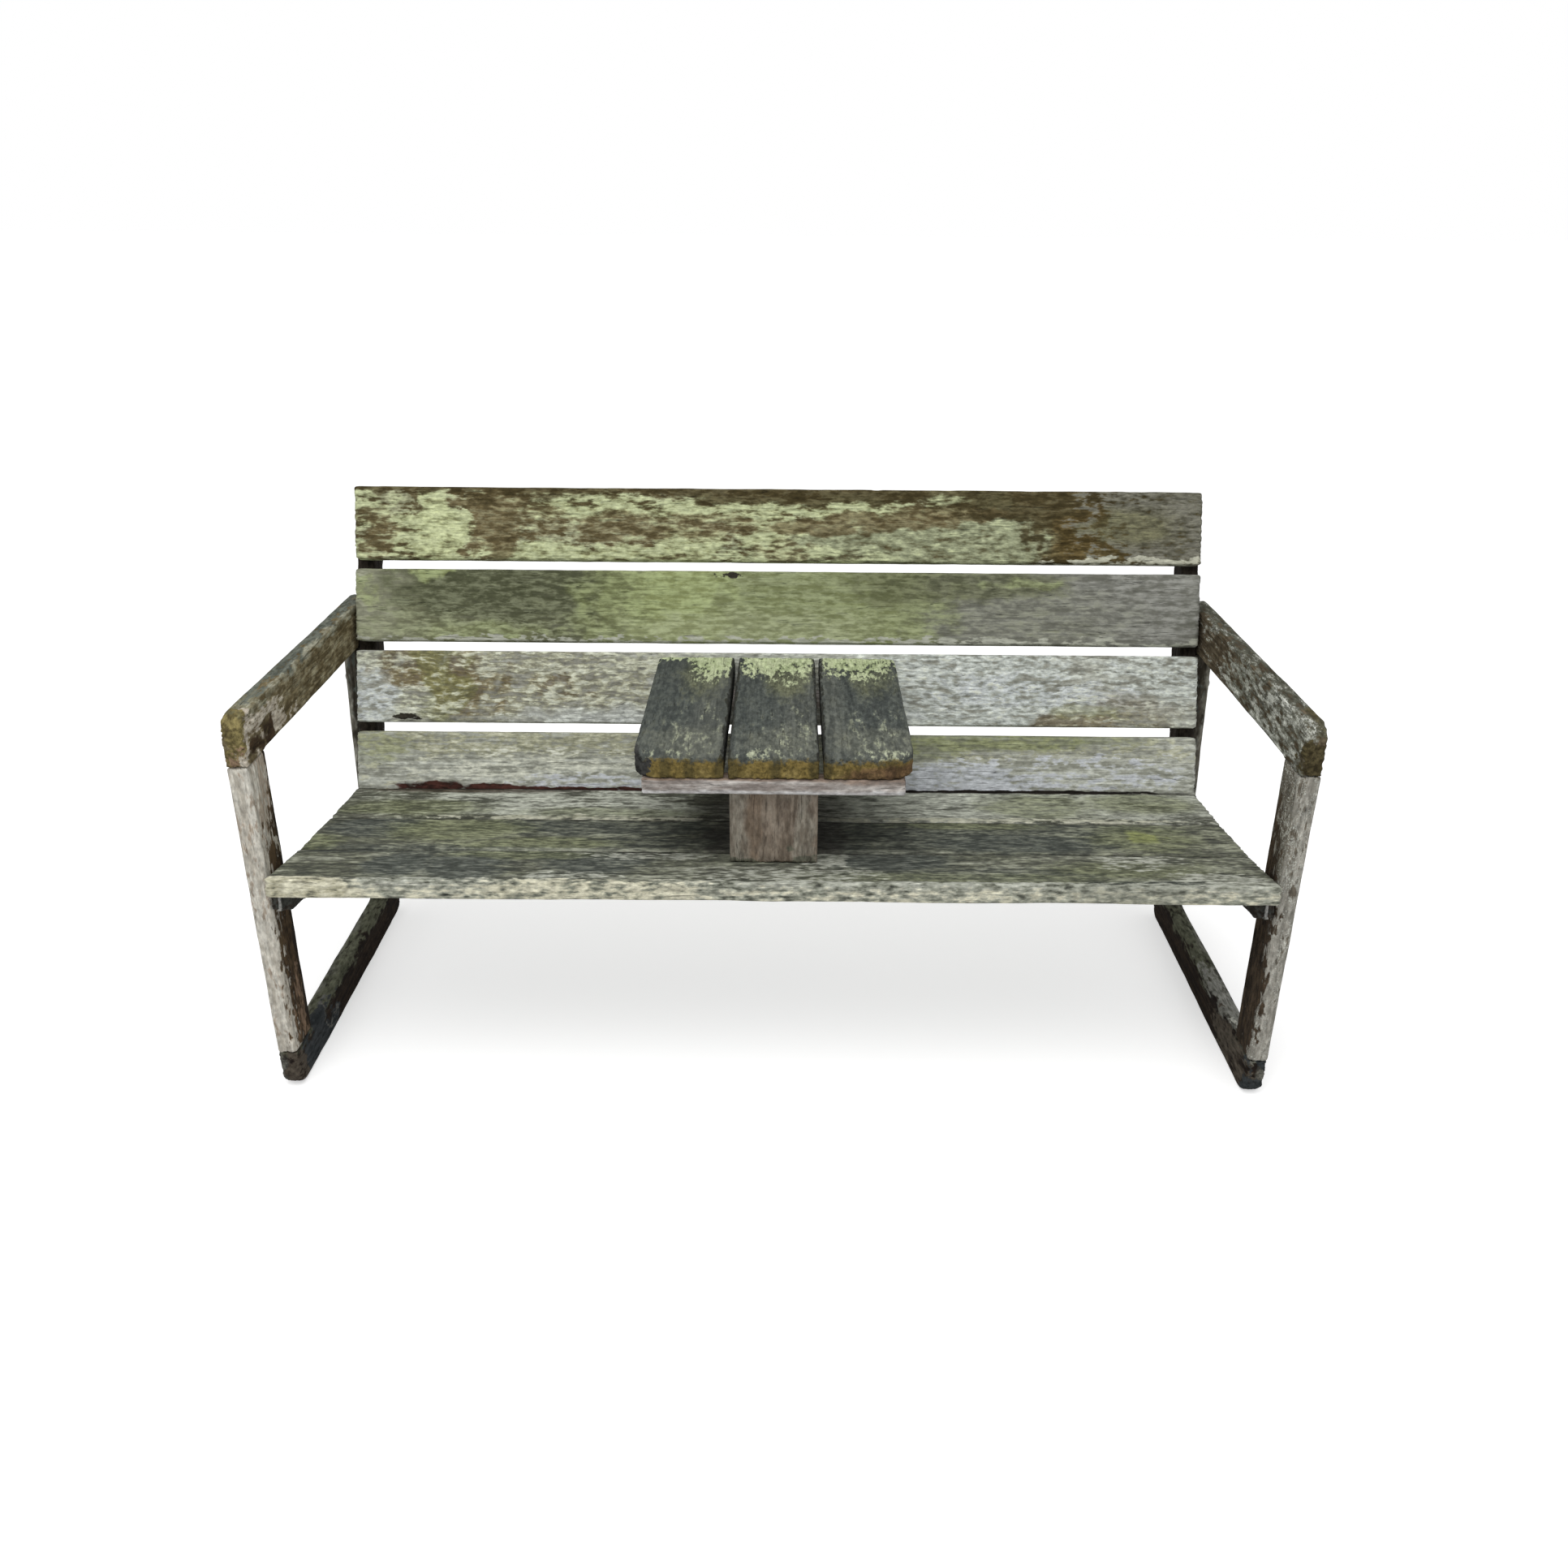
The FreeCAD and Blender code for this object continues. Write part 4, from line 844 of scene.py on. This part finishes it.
# Table boards
# Three short softwood boards side by side, front to back, screwed up through the cleats, the outer ones with
# rounded corners. The tops are black with grime and green with lichen at the rear, and the end grain in front
# is mustard brown.
table_board_width = 0.147
table_joint = 0.0065
beside_middle_board = 0.077
table_top = 0.626
front_ends = -0.36
for place, name in ((-1, "table_board_left"), (0, "table_board_middle"), (1, "table_board_right")):
    board = copy_of(name)
    weather(board, "Y", 95 + place, stretch=0.5, cell=0.002)
    middle = place * (table_board_width + table_joint)
    grey = (0.15, 0.16, 0.14), (0.07, 0.076, 0.069)
    grime_and_painted_shade = (0.09, 0.105, 0.1), (0.035, 0.042, 0.042)
    moss = (0.19, 0.2, 0.12), (0.1, 0.105, 0.06)
    ash = (0.2, 0.21, 0.17), (0.12, 0.125, 0.1)
    lichen = (0.63, 0.7, 0.44), (0.36, 0.42, 0.23)
    crust = (0.56, 0.6, 0.43), (0.34, 0.37, 0.25)
    black = (0.035, 0.038, 0.035), (0.02, 0.02, 0.019)
    mustard = (0.24, 0.175, 0.055), (0.1, 0.075, 0.025)
    wood = Timber(name, "Y", 7.4 + place, grey, drift=0.01)
    wood.stain(grime_and_painted_shade, [((middle - 0.04 + 0.06 * (place > 0), 0, table_top), (0.09, 0.5, 0.05), 0.8)], 0.3)
    wood.stain(moss, [((middle + 0.02, 0.08, table_top), (0.06, 0.18, 0.05), 0.6 + 0.2 * (place == 0))])
    wood.stain(ash, [((middle + 0.02, -0.25, 0.63), (0.12, 0.1, 0.03), 0.6)])
    wood.coat(lichen, [
        ((middle + 0.035 * (place < 0), 0.175, 0.63), (0.1 - 0.03 * (place < 0), 0.15, 0.06), 0.9),
        ((middle, 0.19, 0.63), (0.2, 0.06, 0.06), 0.75),
        ((middle + 0.03, 0.1, 0.63), (0.05, 0.12, 0.03), 0.3)], soft=0.2, crumbs=0.7, raised=0.8)
    wood.coat(crust, [
        ((middle + 0.03 * place, -0.3, 0.625), (0.08, 0.02, 0.02), 0.3),
        ((middle + 0.02, -0.2, 0.63), (0.08, 0.2, 0.02), 0.1)], soft=0.3, ragged=2.4, flecks=3, crumbs=1,
        raised=0.5)
    wood.coat(black, [
        ((side * beside_middle_board, 0, table_top), (0.012, 2, 0.1), 0.75) for side in (-1, 1)], soft=0.2)
    wood.coat(mustard, [((middle, front_ends, 0.585), (0.3, 0.12, 0.042), 1.6)], soft=0.4, flecks=2)
    pale_streaks, dark_streaks = {
        -1: ((-0.05, 0.04), (-0.02, 0.018, 0.068)),
        0: ((-0.045, 0.03), (-0.066, 0.004, 0.066)),
        1: ((-0.05, 0.01), (-0.068, 0.035)),
    }[place]
    straw = (0.36, 0.28, 0.11), (0.22, 0.17, 0.06)
    dark_grain = (0.05, 0.044, 0.02), (0.028, 0.026, 0.014)
    wood.stain(straw, [
        ((middle + shift, front_ends, 0.587), (0.022, 0.12, 0.024), 0.8)
        for shift in pale_streaks], thick=0.6)
    wood.stain(dark_grain, [
        ((middle + shift, front_ends, 0.6), (0.016, 0.12, 0.05), 0.75)
        for shift in dark_streaks], 0.3, thick=0.7)
    if place > 0:
        red_brown = (0.15, 0.085, 0.05), (0.07, 0.04, 0.024)
        wood.stain(red_brown, [((0.2, -0.31, 0.592), (0.12, 0.05, 0.022), 1.0)])
    if place < 0:
        soaked = (0.055, 0.055, 0.052), (0.025, 0.025, 0.024)
        wood.coat(soaked, [((-0.235, -0.31, 0.598), (0.045, 0.06, 0.045), 1.2)])
    wood.finish(board, 0.6 + 0.3 * (place > -1))
    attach(board, "root")
    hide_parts(name)


# Bolts and screws
# Galvanised coach bolts with washers and nuts, and countersunk screws, gone dull and chalky.
for name in nodes:
    if name.startswith("bolt_") or name.endswith(("bolts", "screws")):
        material, tree, shader = new_material(name + "_zinc")
        place = put(tree, "ShaderNodeTexCoord").outputs["Object"]
        bloom = put(tree, "ShaderNodeTexNoise", {"Vector": place, "Scale": 240, "Detail": 4}).outputs[0]
        dull = (0.2, 0.2, 0.19, 1)
        chalky = (0.42, 0.42, 0.4, 1)
        chalked = ramp(tree, bloom, 0.42, 0.6)
        tone = put(tree, "ShaderNodeMixRGB", {"Fac": chalked, "Color1": dull, "Color2": chalky}).outputs[0]
        tree.links.new(tone, shader.inputs["Base Color"])
        tree.links.new(ramp(tree, bloom, 0.4, 0.62, 0.45, 0.8), shader.inputs["Roughness"])
        shader.inputs["Metallic"].default_value = 0.8
        bump = put(tree, "ShaderNodeBump", {"Height": bloom, "Distance": 0.0003}).outputs[0]
        tree.links.new(bump, shader.inputs["Normal"])
        nodes[name].data.materials.clear()
        nodes[name].data.materials.append(material)
